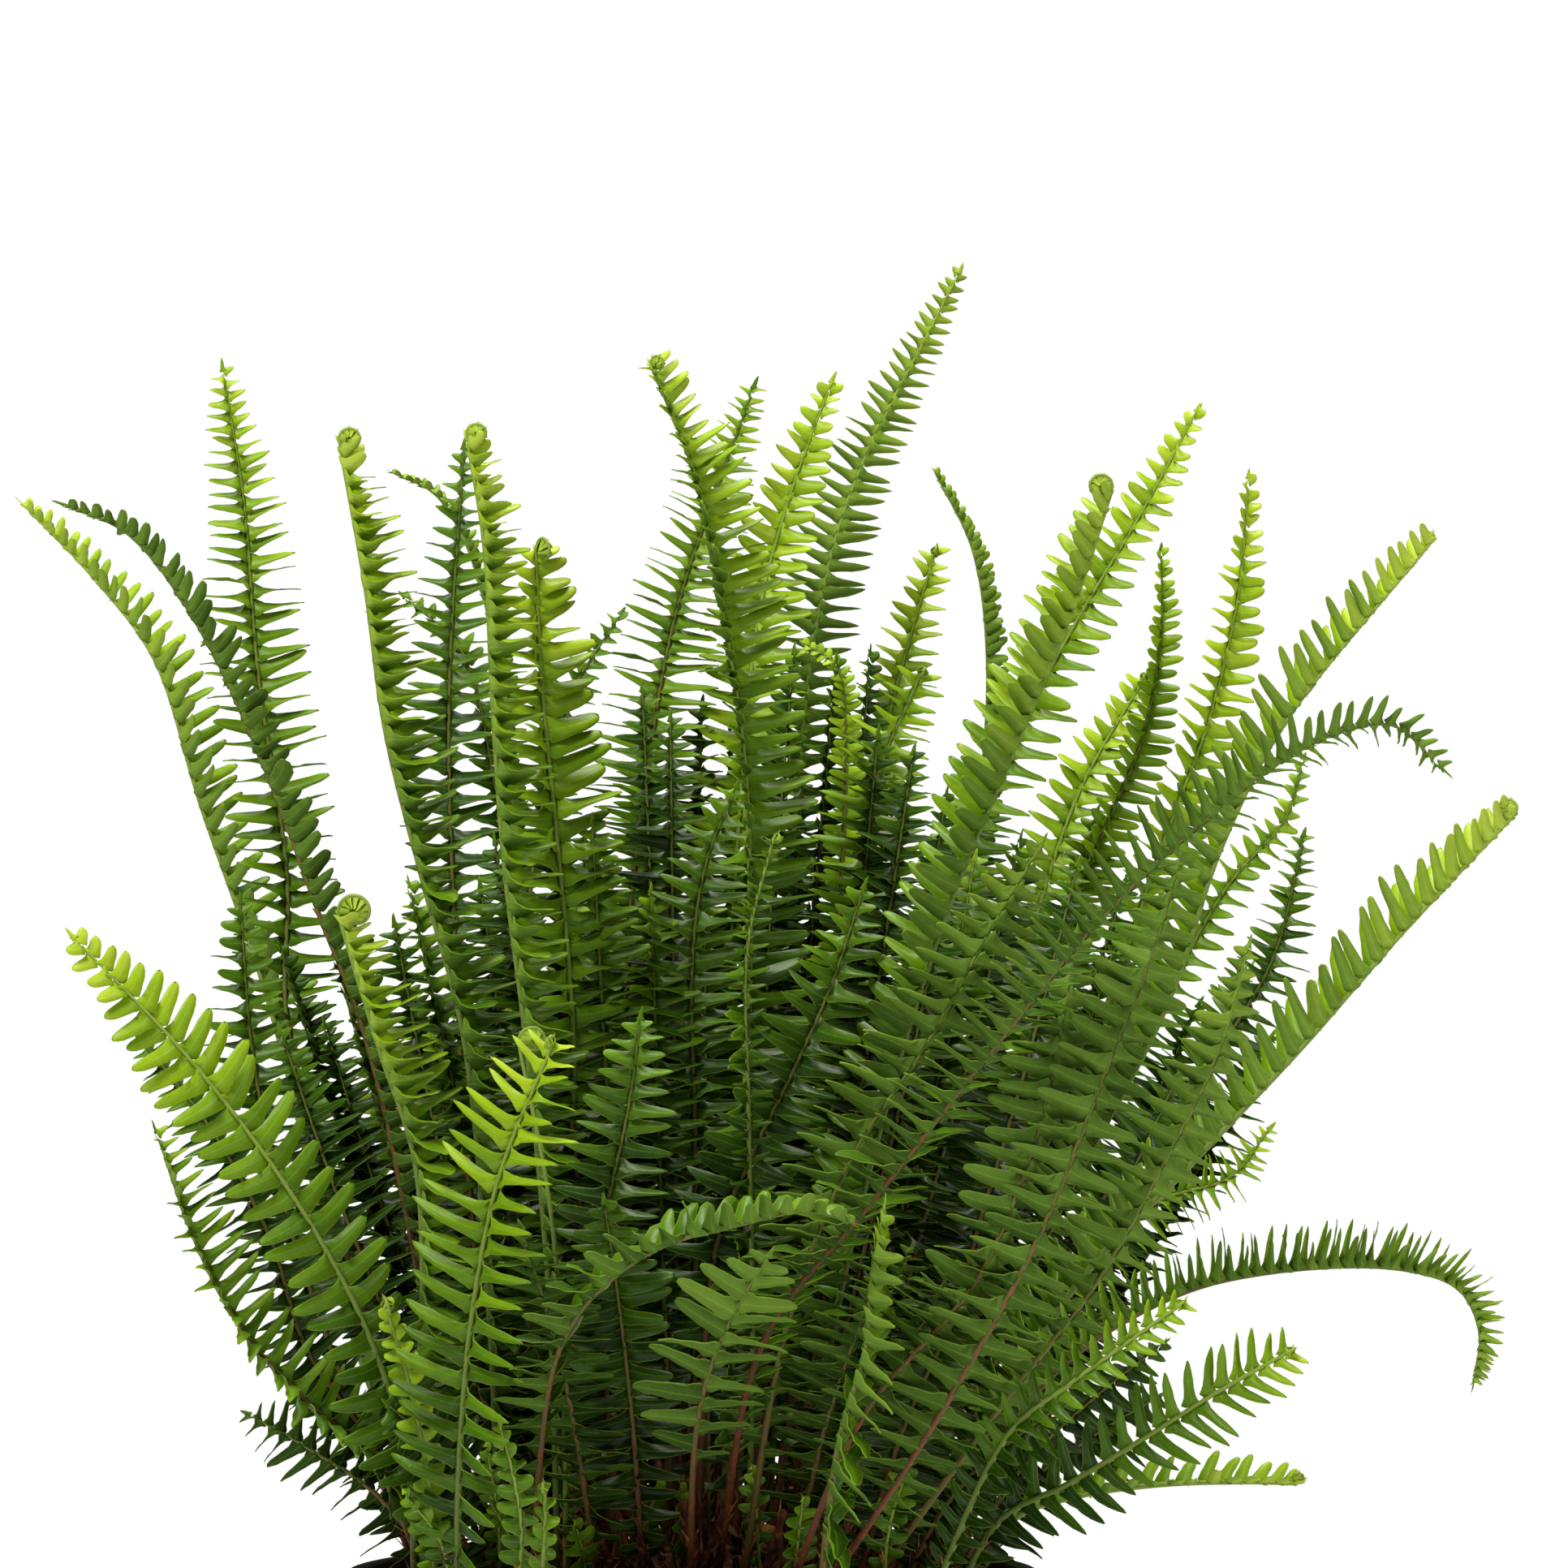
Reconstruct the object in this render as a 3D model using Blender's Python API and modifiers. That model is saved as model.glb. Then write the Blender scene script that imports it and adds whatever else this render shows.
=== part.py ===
"""Potted sword fern: a black nursery pot, its soil, a scaly crown and the fronds that grow from it.

Metres, +Z up. The origin is the centre of the pot's underside, -Y is the front.
Each frond is a tapering stalk with a row of pinnae on either side. Where two fronds would meet,
the pinnae that touch are shortened until they clear each other, as crowded leaflets give way.
"""

import math
from collections import namedtuple

import bmesh
import bpy
from mathutils import Vector
from mathutils.bvhtree import BVHTree

CM = 0.01

# Pot: a 24 cm grower's container with a turned-down lip.
POT_HEIGHT = 0.190
LIP_RADIUS = 0.120
LIP_DROP = 0.010
WALL = 0.0016
WALL_TOP_RADIUS = 0.1165
SHOULDER_DROP = 0.036
SHOULDER_STEP = 0.0020
SHOULDER_RADIUS = 0.1125
FOOT_RADIUS = 0.0880
CHANNEL_INNER_RADIUS = 0.058
CHANNEL_OUTER_RADIUS = 0.079
CHANNEL_RISE = 0.004
DRAIN_COUNT = 8
DRAIN_RADIUS = 0.0065
POT_STEPS = 48

# Soil and crown.
SOIL_DROP = 0.010
SOIL_GAP = 0.0010
SOIL_STEPS = 32
CROWN_CENTRE = (0.008, -0.010)
CROWN_RADIUS = 0.060
CROWN_HEIGHT = 0.018
REST_GAP = 0.0004
STALK_GAP = 0.0014

# The fronds are drawn as a front elevation: a point is where it shows on the upright plane through
# the pot's axis, to an eye this far in front, and its depth then carries it along the line of sight.
EYE = Vector((0.0317, -3.0, POT_HEIGHT + 0.2717))

# Frond proportions.
STALK_SIDE = 0.0030
STALK_TIP_SIDE = 0.0013
PINNA_PITCH = 0.0235
PINNA_FOOT = 0.78
DEPTH_SPREAD = 1.3
BARE_STALK = 0.16
FACING_LIFT = 0.4
SAMPLES_PER_SPAN = 24
CURL_STEPS = 9
CURL_TURNS = 0.75
SHORTEN = 0.78
MOST_ROUNDS = 40

TONES = {
    "young": (0.36, 0.52, 0.06),
    "pale": (0.47, 0.60, 0.13),
    "mid": (0.13, 0.28, 0.03),
    "dark": (0.05, 0.14, 0.02),
    "olive": (0.14, 0.22, 0.05),
    "shoot": (0.45, 0.50, 0.22),
}

# tone; reach, the longest pinna, in cm; fold, how far the pinnae rise out of the flat, in degrees;
# facing, where the upper side looks, in degrees from +X towards +Y; curl, the radius of a coiled
# tip, in cm; path, the base as (x, y) and then (x, depth, height above the rim), in cm.
Frond = namedtuple("Frond", "tone reach fold facing curl path")

FRONDS = {
    # Left side.
    "left_frond_01": Frond("young", 1.8, 60, -20, 0, [
        (-8.5, 5), (-12, 8, 9), (-14.6, 10, 19.5), (-17, 11, 26.5), (-18.6, 11.5, 31.5), (-20.7, 12, 34.3),
        (-23.1, 12, 36.8)]),
    "left_frond_02": Frond("olive", 1.8, 30, 20, 0, [
        (-7.5, -0.5), (-9.8, 0, 12), (-11.4, 0.5, 18.8), (-12.9, 1, 22.7), (-14.6, 1.5, 27.3),
        (-17, 1.5, 32.5), (-19.5, 2, 35.8), (-21.7, 2, 36.8)]),
    "left_frond_03": Frond("mid", 2.0, 15, -75, 0, [
        (-8, 2.5), (-12, 4.5, 11), (-14, 5.5, 19), (-14, 6, 24), (-15, 6.5, 31), (-15.5, 7, 37),
        (-16.2, 7, 41.4)]),
    "left_frond_04": Frond("young", 2.2, 66, -20, 0.42, [
        (-6.5, -2.5), (-7, -4, 9), (-7.9, -5, 18.5), (-9.3, -5.5, 23.8), (-10.6, -6, 29), (-11.3, -6, 34),
        (-12.2, -6, 39)]),
    "left_frond_05": Frond("mid", 1.2, 40, 0, 0, [
        (-5, 6), (-5.6, 8, 14), (-6.3, 9.5, 26), (-7.3, 10, 34), (-8.8, 10, 37.1), (-10.3, 10, 37.9)]),
    "left_frond_06": Frond("dark", 1.8, 20, -90, 0, [
        (-6, 2), (-7.6, 3, 12), (-8.2, 4, 22), (-8.4, 4.5, 30), (-7.9, 5, 38.7)]),
    "left_frond_07": Frond("dark", 1.4, 20, -60, 0, [
        (-4.5, 4.5), (-5.2, 6, 13), (-6, 7, 21), (-6.9, 7.5, 27.5), (-8, 7.5, 31.8), (-9.9, 7.5, 33.6)]),
    "left_frond_08": Frond("young", 2.0, 64, -15, 0.38, [
        (-4.5, -3.5), (-4.9, -5.5, 9), (-5.7, -6.5, 18), (-6.5, -7, 24.5), (-6.9, -7, 30), (-7.2, -7, 35.5),
        (-7.8, -7, 39.2)]),
    "left_frond_09": Frond("young", 2.4, 20, -60, 0.48, [
        (-3.2, -1), (-4.3, -2, 10), (-4.1, -3, 18), (-4.7, -3, 25.5), (-5.2, -3, 30.5), (-5.4, -3, 35.2)]),
    "left_frond_10": Frond("dark", 1.5, 20, -90, 0, [
        (-5.5, 7.5), (-6, 9.5, 15), (-5.4, 12, 25), (-4.3, 13, 30), (-2.5, 13.5, 33)]),
    "left_frond_11": Frond("young", 2.0, 5, -80, 0, [
        (-7, -4), (-9.8, -6.5, 4.5), (-11.7, -8, 9.3), (-14.1, -9, 13.4), (-17.3, -10, 17.6),
        (-21.3, -11, 21.8)]),
    "left_frond_12": Frond("dark", 1.7, 20, -80, 0, [
        (-7.5, -1.5), (-11.3, -3, 4.7), (-13.4, -4, 7.8), (-14.6, -4.5, 11.5), (-16.6, -5, 15.2),
        (-19.1, -5, 18.4)]),
    "left_frond_13": Frond("olive", 1.9, 40, -35, 0, [
        (-8.6, -2.4), (-11, -5, 3.8), (-13.3, -6.5, 5.8), (-15.6, -7.5, 8.4), (-17.1, -8, 11.2),
        (-18.5, -8, 15.1)]),
    "left_frond_14": Frond("young", 2.1, 66, -20, 0.62, [
        (-9.4, -4.3), (-9.6, -4.9, 4), (-9.3, -6, 10), (-9.6, -6.8, 14.3), (-10.8, -7.4, 18),
        (-12.2, -7.6, 22.6)]),
    "left_frond_15": Frond("shoot", 0.7, 20, -80, 0.36, [
        (-8.6, -5.8), (-9.1, -7, 3), (-9.8, -8, 6.5), (-10.6, -8.5, 9.2)]),
    "left_frond_16": Frond("dark", 1.8, 20, -90, 0, [
        (-9, 1.5), (-12.6, 2, 8), (-14.2, 2, 13), (-15.2, 2, 18), (-15.6, 2, 23)]),
    # Centre.
    "centre_frond_01": Frond("dark", 2.0, 15, -85, 0, [
        (-1.5, 3), (-2.3, 4, 13), (-2.2, 5, 22), (-1.5, 5.5, 28), (-0.5, 6, 33.3), (2.1, 6, 40.8)]),
    "centre_frond_02": Frond("young", 2.4, 35, -40, 0.3, [
        (1, -2.5), (1.6, -4, 12), (2, -5, 21), (1.8, -5.5, 28), (1, -5.5, 33.3), (0.1, -5.5, 37.8),
        (-1.4, -5.5, 41.6)]),
    "centre_frond_03": Frond("pale", 1.9, 15, -90, 0, [
        (0.8, 4.5), (1, 5.5, 14), (1.5, 6, 24), (2.3, 6.5, 33), (3.4, 7, 37.2), (4.8, 7, 41)]),
    "centre_frond_04": Frond("pale", 1.6, 15, 90, 0, [
        (2.6, 5.5), (3, 7.5, 13), (3.4, 9, 24), (4.3, 9.5, 32.7), (5.5, 10, 37.3), (9.2, 10, 44.8)]),
    "centre_frond_05": Frond("dark", 1.0, 20, -60, 0, [
        (3.8, 3), (4.6, 3.5, 14), (5.1, 4, 23), (5.3, 4, 28.7), (5, 4, 31.2), (3.9, 4, 32)]),
    "centre_frond_06": Frond("young", 1.5, 20, -90, 0.2, [
        (4, 7.5), (5, 9.5, 15), (6.2, 11, 27), (7.3, 11.5, 31.4), (8.4, 11.5, 35.2)]),
    "centre_frond_07": Frond("mid", 2.0, 20, -80, 0.25, [
        (3.3, -0.5), (4.3, -1, 12), (5.8, -1, 22), (6.3, -1, 27), (7.9, -1, 31)]),
    "centre_frond_08": Frond("dark", 2.1, 20, -90, 0, [
        (0, -0.8), (0.1, -1.5, 9), (0.1, -2, 15), (0, -2.2, 21), (0.5, -2.2, 24.5), (1.5, -2.2, 27)]),
    "centre_frond_09": Frond("shoot", 0.9, 20, -60, 0.2, [
        (1.9, -3.8), (2.1, -6, 8), (1.95, -7.5, 16), (1.9, -8, 21.5), (2.8, -8, 25.3)]),
    "centre_frond_10": Frond("dark", 1.9, 15, -90, 0, [
        (0.2, -2.6), (0.8, -4.5, 11), (2, -6, 14.2), (3.6, -7, 17.5), (4.8, -7.3, 20.2), (5.9, -7.5, 23.5)]),
    "centre_frond_11": Frond("shoot", 0.0, 0, 0, 0.5, [
        (-4.2, -5), (-4.5, -7, 8), (-5, -8.5, 13.2), (-6, -9, 18.2)]),
    "centre_frond_12": Frond("olive", 2.2, 10, 90, 0, [
        (0, -6), (0.1, -9, 4.5), (0.6, -11, 6.9), (1.5, -12.5, 9), (2.6, -13.5, 10.8)]),
    "centre_frond_13": Frond("olive", 1.8, 40, 140, 0, [
        (-5.3, -5.4), (-5.3, -8, 3.5), (-4.6, -10.5, 7.6), (-3.2, -12, 9.7), (-1, -13, 11.2),
        (1.5, -13.5, 11.9), (4, -13.8, 12.4), (5.6, -14, 12)]),
    "centre_frond_14": Frond("young", 2.5, 25, -110, 0.28, [
        (-7.9, -6.4), (-8, -8.6, 4.5), (-7.5, -10.5, 9.5), (-6.6, -11.3, 13.8), (-4.8, -11.6, 18.2)]),
    "centre_frond_15": Frond("shoot", 0.5, 20, -90, 0.22, [
        (-5.2, -8.3), (-5.1, -9, 1.2), (-5.1, -9.3, 2.9)]),
    "centre_frond_16": Frond("shoot", 0.7, 20, -90, 0, [
        (-6, -7.4), (-5.9, -9, 1.5), (-6.2, -9.7, 3.4), (-6.7, -10, 5.2)]),
    "centre_frond_17": Frond("dark", 1.9, 20, -90, 0, [
        (-2.4, -4.2), (-3, -6.5, 7), (-3, -8, 12), (-2.2, -8.6, 16), (-1.8, -9, 19)]),
    # Right side.
    "right_frond_01": Frond("mid", 1.1, 55, 0, 0, [
        (5.5, 5.5), (8, 8, 14), (9.6, 9, 24), (10.2, 9.5, 31), (9.7, 9.5, 35.2), (8.4, 9.5, 37.9)]),
    "right_frond_02": Frond("young", 2.1, 60, -160, 0.45, [
        (3.5, -4), (5, -6, 9), (7.4, -7.5, 18.5), (9.2, -8, 23.8), (11.1, -8.5, 28.3), (13, -8.5, 32.8),
        (14.5, -8.5, 37.3)]),
    "right_frond_03": Frond("young", 1.6, 20, -100, 0, [
        (5, 1.5), (7, 2, 13), (9.3, 2.5, 24), (11.4, 3, 29.2), (13.4, 3, 33), (15.5, 3, 36.5),
        (17.4, 3, 40)]),
    "right_frond_04": Frond("young", 1.4, 20, -90, 0.25, [
        (7, 6.5), (10, 9, 15), (13.2, 10.5, 26.5), (15.6, 11, 30.8)]),
    "right_frond_05": Frond("dark", 1.3, 40, -60, 0, [
        (6.5, 3.5), (10.2, 5, 13), (13.6, 5.5, 24), (15.6, 6, 29), (16.2, 6, 32.5), (16.2, 6, 35.2)]),
    "right_frond_06": Frond("pale", 1.5, 30, -50, 0, [
        (8, 4.5), (12.5, 7, 14), (16.2, 9, 25), (17.9, 9.5, 29.6), (18.9, 9.5, 34), (19.2, 9.5, 37.7)]),
    "right_frond_07": Frond("young", 2.0, 58, 160, 0.2, [
        (7, -0.5), (12, -0.5, 11), (16.4, -0.5, 19.5), (18.3, -0.5, 25), (20.5, -0.5, 29.3),
        (25.6, -0.5, 35.6)]),
    "right_frond_08": Frond("olive", 2.3, 20, 120, 0, [
        (0.8, -4.4), (2.5, -9, 8), (6.1, -12, 12.6), (9.9, -14, 17.4), (14, -15.5, 22.4), (17.8, -16, 26),
        (21.5, -16.5, 28.6), (24.2, -16.5, 29.2), (25.8, -16.5, 27.8)]),
    "right_frond_09": Frond("mid", 2.1, 15, 100, 0, [
        (1.6, -5.6), (3.3, -7.5, 8.5), (5.6, -9, 14.4), (8, -10, 18), (10, -10.8, 21.6), (12, -11, 25)]),
    "right_frond_10": Frond("olive", 2.0, 15, 95, 0, [
        (3.6, -6.2), (9.1, -11.5, 6.3), (12, -13, 11.6), (14.3, -13.5, 17.3), (16, -13.5, 21.6),
        (17, -13.5, 25)]),
    "right_frond_11": Frond("olive", 1.9, 15, 90, 0, [
        (2.8, -7.4), (6, -10.5, 5.5), (9.8, -12.5, 10), (11.9, -13.2, 15), (12.8, -13.2, 19),
        (13.3, -13, 22)]),
    "right_frond_12": Frond("mid", 1.9, 20, 105, 0, [
        (5, -5), (10.9, -9, 6), (14, -10.5, 10), (16.4, -11, 14.3), (18.2, -11, 18), (19.2, -11, 21.5)]),
    "right_frond_13": Frond("young", 2.2, 62, 160, 0.35, [
        (6.6, -2.6), (13, -5.5, 9.5), (17.2, -7, 14), (21, -7.5, 18), (24.6, -8, 22.1), (28.4, -8, 26.1)]),
    "right_frond_14": Frond("dark", 1.6, 20, -90, 0, [
        (7.6, 1.6), (13, 2.4, 11), (18.2, 3, 18), (20, 3, 21), (20.8, 3, 23.8), (21.1, 3, 25.3)]),
    "right_frond_15": Frond("mid", 1.2, 20, -90, 0, [
        (6.3, 8.5), (13, 12, 13), (18.4, 13, 23.5), (20.5, 13, 26), (21.1, 13, 28)]),
    "right_frond_16": Frond("mid", 1.5, 20, -110, 0, [
        (8.6, -1.6), (12.5, -2.4, 9.5), (16, -3, 12.7), (18.6, -3, 13.6), (19.9, -3, 15.2)]),
    "right_frond_17": Frond("dark", 1.7, 70, 170, 0, [
        (7.6, -4.6), (12, -6.5, 6.3), (16.5, -8, 9.4), (20, -8.5, 10.3), (24.5, -9, 10.4), (26.5, -9, 9.7),
        (27.2, -9, 8.2), (27, -9, 6.6)]),
    "right_frond_18": Frond("young", 1.2, 20, -100, 0.2, [
        (7.6, -6.8), (11, -10, 4.8), (13, -11.5, 6.4), (15.2, -12.5, 8), (16.9, -13, 9.2)]),
    "right_frond_19": Frond("young", 1.8, 10, -100, 0.2, [
        (8.4, -5.2), (10.6, -5.4, 1.7), (13, -7, 3), (15.5, -8.5, 4.5), (18.2, -9.8, 6.2),
        (20.7, -10.5, 7.6)]),
    "right_frond_20": Frond("pale", 1.2, 40, 175, 0.22, [
        (9.2, -2.8), (11, -3.4, 1.7), (13, -4, 2.5), (16, -4.5, 2.95), (19, -5, 3.05), (20.9, -5, 3)]),
    "right_frond_21": Frond("mid", 2.4, 25, -20, 0, [
        (4.2, -8.6), (5.1, -11.2, 4.6), (6, -12.4, 7.7), (6.2, -12.8, 10), (6.6, -13, 12.4)]),
    # Back, out of the front view.
    "back_frond_01": Frond("mid", 1.9, 20, -90, 0, [
        (-3, 7), (-4.5, 10.5, 9), (-5.5, 14, 15), (-6.5, 17, 18), (-7.5, 19.5, 18)]),
    "back_frond_02": Frond("mid", 1.9, 20, -90, 0, [
        (1.2, 7.6), (1.5, 10.5, 10), (2, 14, 17), (2, 17, 21), (1.5, 19.5, 22)]),
    "back_frond_03": Frond("dark", 1.9, 20, -100, 0, [
        (4.8, 9), (8, 12, 8), (10, 15.5, 14), (11.5, 18, 17.5), (12.5, 20, 18)]),
}


def elevation_point(x, depth, height):
    """A point of the front elevation, in cm, carried to its depth along the line of sight."""
    drawn = Vector((x * CM, 0, POT_HEIGHT + height * CM))
    return EYE + (drawn - EYE) * (depth * DEPTH_SPREAD * CM - EYE.y) / -EYE.y


def soil_top():
    return POT_HEIGHT - SOIL_DROP


def ground(x, y):
    """Height of the soil or the crown at a place."""
    away = math.hypot(x - CROWN_CENTRE[0], y - CROWN_CENTRE[1]) / CROWN_RADIUS
    if away >= 1:
        return soil_top()
    return soil_top() + REST_GAP + CROWN_HEIGHT * (1 - away**2)


def path_points(frond):
    (x, y), *rest = frond.path
    x, y = x * CM, y * CM
    reach = STALK_SIDE / 2
    top = max(ground(x + i * reach, y + j * reach) for i in (-1, 0, 1) for j in (-1, 0, 1))
    return [Vector((x, y, top + STALK_GAP))] + [elevation_point(*p) for p in rest]


def smooth(points):
    """Close points on a centripetal Catmull-Rom curve through the given ones."""
    ends = [2 * points[0] - points[1], *points, 2 * points[-1] - points[-2]]
    line = [points[0]]
    for a, b, c, d in zip(ends, ends[1:], ends[2:], ends[3:]):
        k1, k2, k3 = (math.sqrt((q - p).length) for p, q in ((a, b), (b, c), (c, d)))
        enter = ((b - a) / k1 - (c - a) / (k1 + k2) + (c - b) / k2) * k2
        leave = ((c - b) / k2 - (d - b) / (k2 + k3) + (d - c) / k3) * k2
        for n in range(1, SAMPLES_PER_SPAN + 1):
            t = n / SAMPLES_PER_SPAN
            line.append(
                b * (2 * t**3 - 3 * t**2 + 1)
                + enter * (t**3 - 2 * t**2 + t)
                + c * (3 * t**2 - 2 * t**3)
                + leave * (t**3 - t**2)
            )
    return line


def marks(bare, pairs):
    """Where the bar is cut: evenly up the bare stalk, then at the foot and the top of each pinna."""
    cuts = [float(n) for n in range(bare)]
    for n in range(pairs):
        cuts += [bare + 2 * n, bare + 2 * (n + PINNA_FOOT)]
    cuts.append(float(bare + 2 * pairs))
    return [cut / cuts[-1] for cut in cuts]


def placed(line, shares):
    """Points at the given shares of a line's length."""
    along = [0.0]
    for p, q in zip(line, line[1:]):
        along.append(along[-1] + (q - p).length)
    made, k = [], 0
    for share in shares:
        want = along[-1] * share
        while k < len(along) - 2 and along[k + 1] < want:
            k += 1
        beyond = (want - along[k]) / (along[k + 1] - along[k])
        made.append(line[k].lerp(line[k + 1], beyond))
    return made


def length_of(line):
    return sum((q - p).length for p, q in zip(line, line[1:]))


def frames(points, facing):
    """(point, along, side, up) at each point. up starts towards facing and turns no more than it must."""
    turn = math.radians(facing)
    up = Vector((math.cos(turn), math.sin(turn), FACING_LIFT))
    made = []
    for n, point in enumerate(points):
        along = (points[min(n + 1, len(points) - 1)] - points[max(n - 1, 0)]).normalized()
        up = (up - up.dot(along) * along).normalized()
        made.append((point, along, up.cross(along), up))
    # The foot is cut level, to stand on the soil.
    point, along, side, up = made[0]
    level_up = Vector((up.x, up.y, 0)).normalized()
    made[0] = (point, Vector((0, 0, 1)), level_up.cross(Vector((0, 0, 1))), level_up)
    return made


def coil(tip, radius):
    """Points of a tip that coils towards its upper side, drawn in to a third of its radius."""
    point, along, _, up = tip
    made = []
    for n in range(1, CURL_STEPS + 1):
        share = n / CURL_STEPS
        angle = math.tau * CURL_TURNS * share
        now = radius * (1 - 0.62 * share)
        made.append(point + up * radius + (along * math.sin(angle) - up * math.cos(angle)) * now)
    return made


def blade_share(t):
    """Length of a pinna as a share of the longest, from the blade's foot at 0 to its tip at 1."""
    grow = min(1, 0.4 + 3.5 * t)
    taper = max(0, (t - 0.55) / 0.45) ** 2
    return grow * (1 - 0.8 * taper)


def box_rod(segments):
    """A bar as long as its count of segments, cut into them, with its side faces free to be poked."""
    bm = bmesh.new()
    bmesh.ops.create_cube(bm, size=1)
    long_edges = [e for e in bm.edges if abs(e.verts[0].co.x - e.verts[1].co.x) > 0.5]
    bmesh.ops.subdivide_edges(bm, edges=long_edges, cuts=segments - 1, use_grid_fill=True)
    for v in bm.verts:
        v.co.x = round((v.co.x + 0.5) * segments)
    return bm


def rounded_index(vert):
    return int(round(vert.co.x))


class FrondShape:
    """A frond's mesh, with each pinna's root, full tip and share of its full length."""

    def __init__(self, frond):
        line = smooth(path_points(frond))
        length = length_of(line)
        bare = max(2, round(length * BARE_STALK / PINNA_PITCH)) if frond.reach else 0
        pairs = max(2, round(length / PINNA_PITCH) - bare // 2)
        if not frond.reach:
            bare, pairs = max(4, round(length / PINNA_PITCH)), 0
        segments = bare + 2 * pairs
        stations = frames(placed(line, marks(bare, pairs)), frond.facing)
        if frond.curl:
            curled = coil(stations[-1], frond.curl * CM)
            stations += frames([stations[-1][0], *curled], frond.facing)[1:]
            stations = self.carried(stations, segments)
        self.bm = box_rod(len(stations) - 1)
        self.pinnae = {}
        if frond.reach:
            self.poke(frond, stations, bare, pairs)
        self.shape_rod(frond, stations)
        self.mark()

    @staticmethod
    def carried(stations, start):
        """The frames from start on, made again so that they turn on smoothly from the one before."""
        points = [s[0] for s in stations]
        up = stations[start][3]
        for n in range(start, len(stations)):
            along = (points[min(n + 1, len(points) - 1)] - points[n - 1]).normalized()
            up = (up - up.dot(along) * along).normalized()
            stations[n] = (points[n], along, up.cross(along), up)
        return stations

    def poke(self, frond, stations, bare, pairs):
        """Pulls every other side face of the blade out into a pinna."""
        fold = math.radians(frond.fold)
        sides = [f for f in self.bm.faces if abs(f.normal.y) > 0.9]
        for face in sides:
            index = min(rounded_index(v) for v in face.verts)
            k = index - bare
            if k < 0 or k % 2 or k // 2 >= pairs:
                continue
            hand = 1 if face.normal.y > 0 else -1
            t = (k // 2 + 0.5) / pairs
            here, beyond = stations[index], stations[index + 1]
            root = (here[0] + beyond[0]) / 2
            along, side, up = (beyond[0] - here[0]).normalized(), here[2], here[3]
            lean = 0.15 + 0.45 * t
            way = hand * math.cos(fold) * side + math.sin(fold) * up + lean * along
            tip = root + way.normalized() * frond.reach * CM * blade_share(t)
            made = bmesh.ops.poke(self.bm, faces=[face])
            self.pinnae[(hand, k // 2)] = [made["verts"][0], root, tip, 1.0, made["faces"]]

    def shape_rod(self, frond, stations):
        tip_side = min(STALK_TIP_SIDE, 0.4 * frond.curl * CM) if frond.curl else STALK_TIP_SIDE
        poked = {pinna[0] for pinna in self.pinnae.values()}
        last = len(stations) - 1
        for v in self.bm.verts:
            if v in poked:
                continue
            n = rounded_index(v)
            point, _, side, up = stations[n]
            width = STALK_SIDE + (tip_side - STALK_SIDE) * n / last
            v.co = point + side * math.copysign(width / 2, v.co.y) + up * math.copysign(width / 2, v.co.z)
        self.place_tips()

    def place_tips(self):
        for vert, root, tip, share, _ in self.pinnae.values():
            vert.co = root.lerp(tip, share)

    def mark(self):
        self.bm.faces.index_update()
        self.owner = {f.index: key for key, pinna in self.pinnae.items() for f in pinna[4]}

    def tree(self):
        return BVHTree.FromBMesh(self.bm, epsilon=0.0)

    def shorten(self, keys):
        for key in keys:
            self.pinnae[key][3] *= SHORTEN


def clear_each_other(shapes, fixed):
    """Shortens the pinnae that touch another frond, the soil, the crown or the pot."""
    for _ in range(MOST_ROUNDS):
        trees = {name: shape.tree() for name, shape in shapes.items()}
        touching = {name: set() for name in shapes}
        stuck = set()
        names = list(shapes)
        for i, a in enumerate(names):
            for b in names[i + 1:] + list(fixed):
                for face_a, face_b in trees[a].overlap(trees.get(b) or fixed[b]):
                    key_a = shapes[a].owner.get(face_a)
                    key_b = shapes[b].owner.get(face_b) if b in shapes else None
                    if key_a is not None:
                        touching[a].add(key_a)
                    if key_b is not None:
                        touching[b].add(key_b)
                    if key_a is None and key_b is None:
                        stuck.add((a, b))
        if not any(touching.values()):
            break
        for name, keys in touching.items():
            shapes[name].shorten(keys)
            shapes[name].place_tips()
    return sorted(stuck)


def material(name, colour, roughness):
    made = bpy.data.materials.new(name)
    made.use_nodes = True
    shader = made.node_tree.nodes["Principled BSDF"]
    shader.inputs["Base Color"].default_value = (*colour, 1)
    shader.inputs["Roughness"].default_value = roughness
    return made


def add_object(name, mesh, collection, finish):
    made = bpy.data.objects.new(name, mesh)
    collection.objects.link(made)
    mesh.materials.append(finish)
    return made


def turned(name, outline, steps, collection, finish):
    """A closed outline of (radius, height) points turned about the Z axis."""
    mesh = bpy.data.meshes.new(name)
    count = len(outline)
    ring = [(n, n + 1) for n in range(count - 1)]
    mesh.from_pydata([(r, 0, z) for r, z in outline], ring, [])
    made = add_object(name, mesh, collection, finish)
    screw = made.modifiers.new("Screw", "SCREW")
    screw.steps = screw.render_steps = steps
    screw.use_merge_vertices = True
    screw.merge_threshold = 0.0001
    return made


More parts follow.
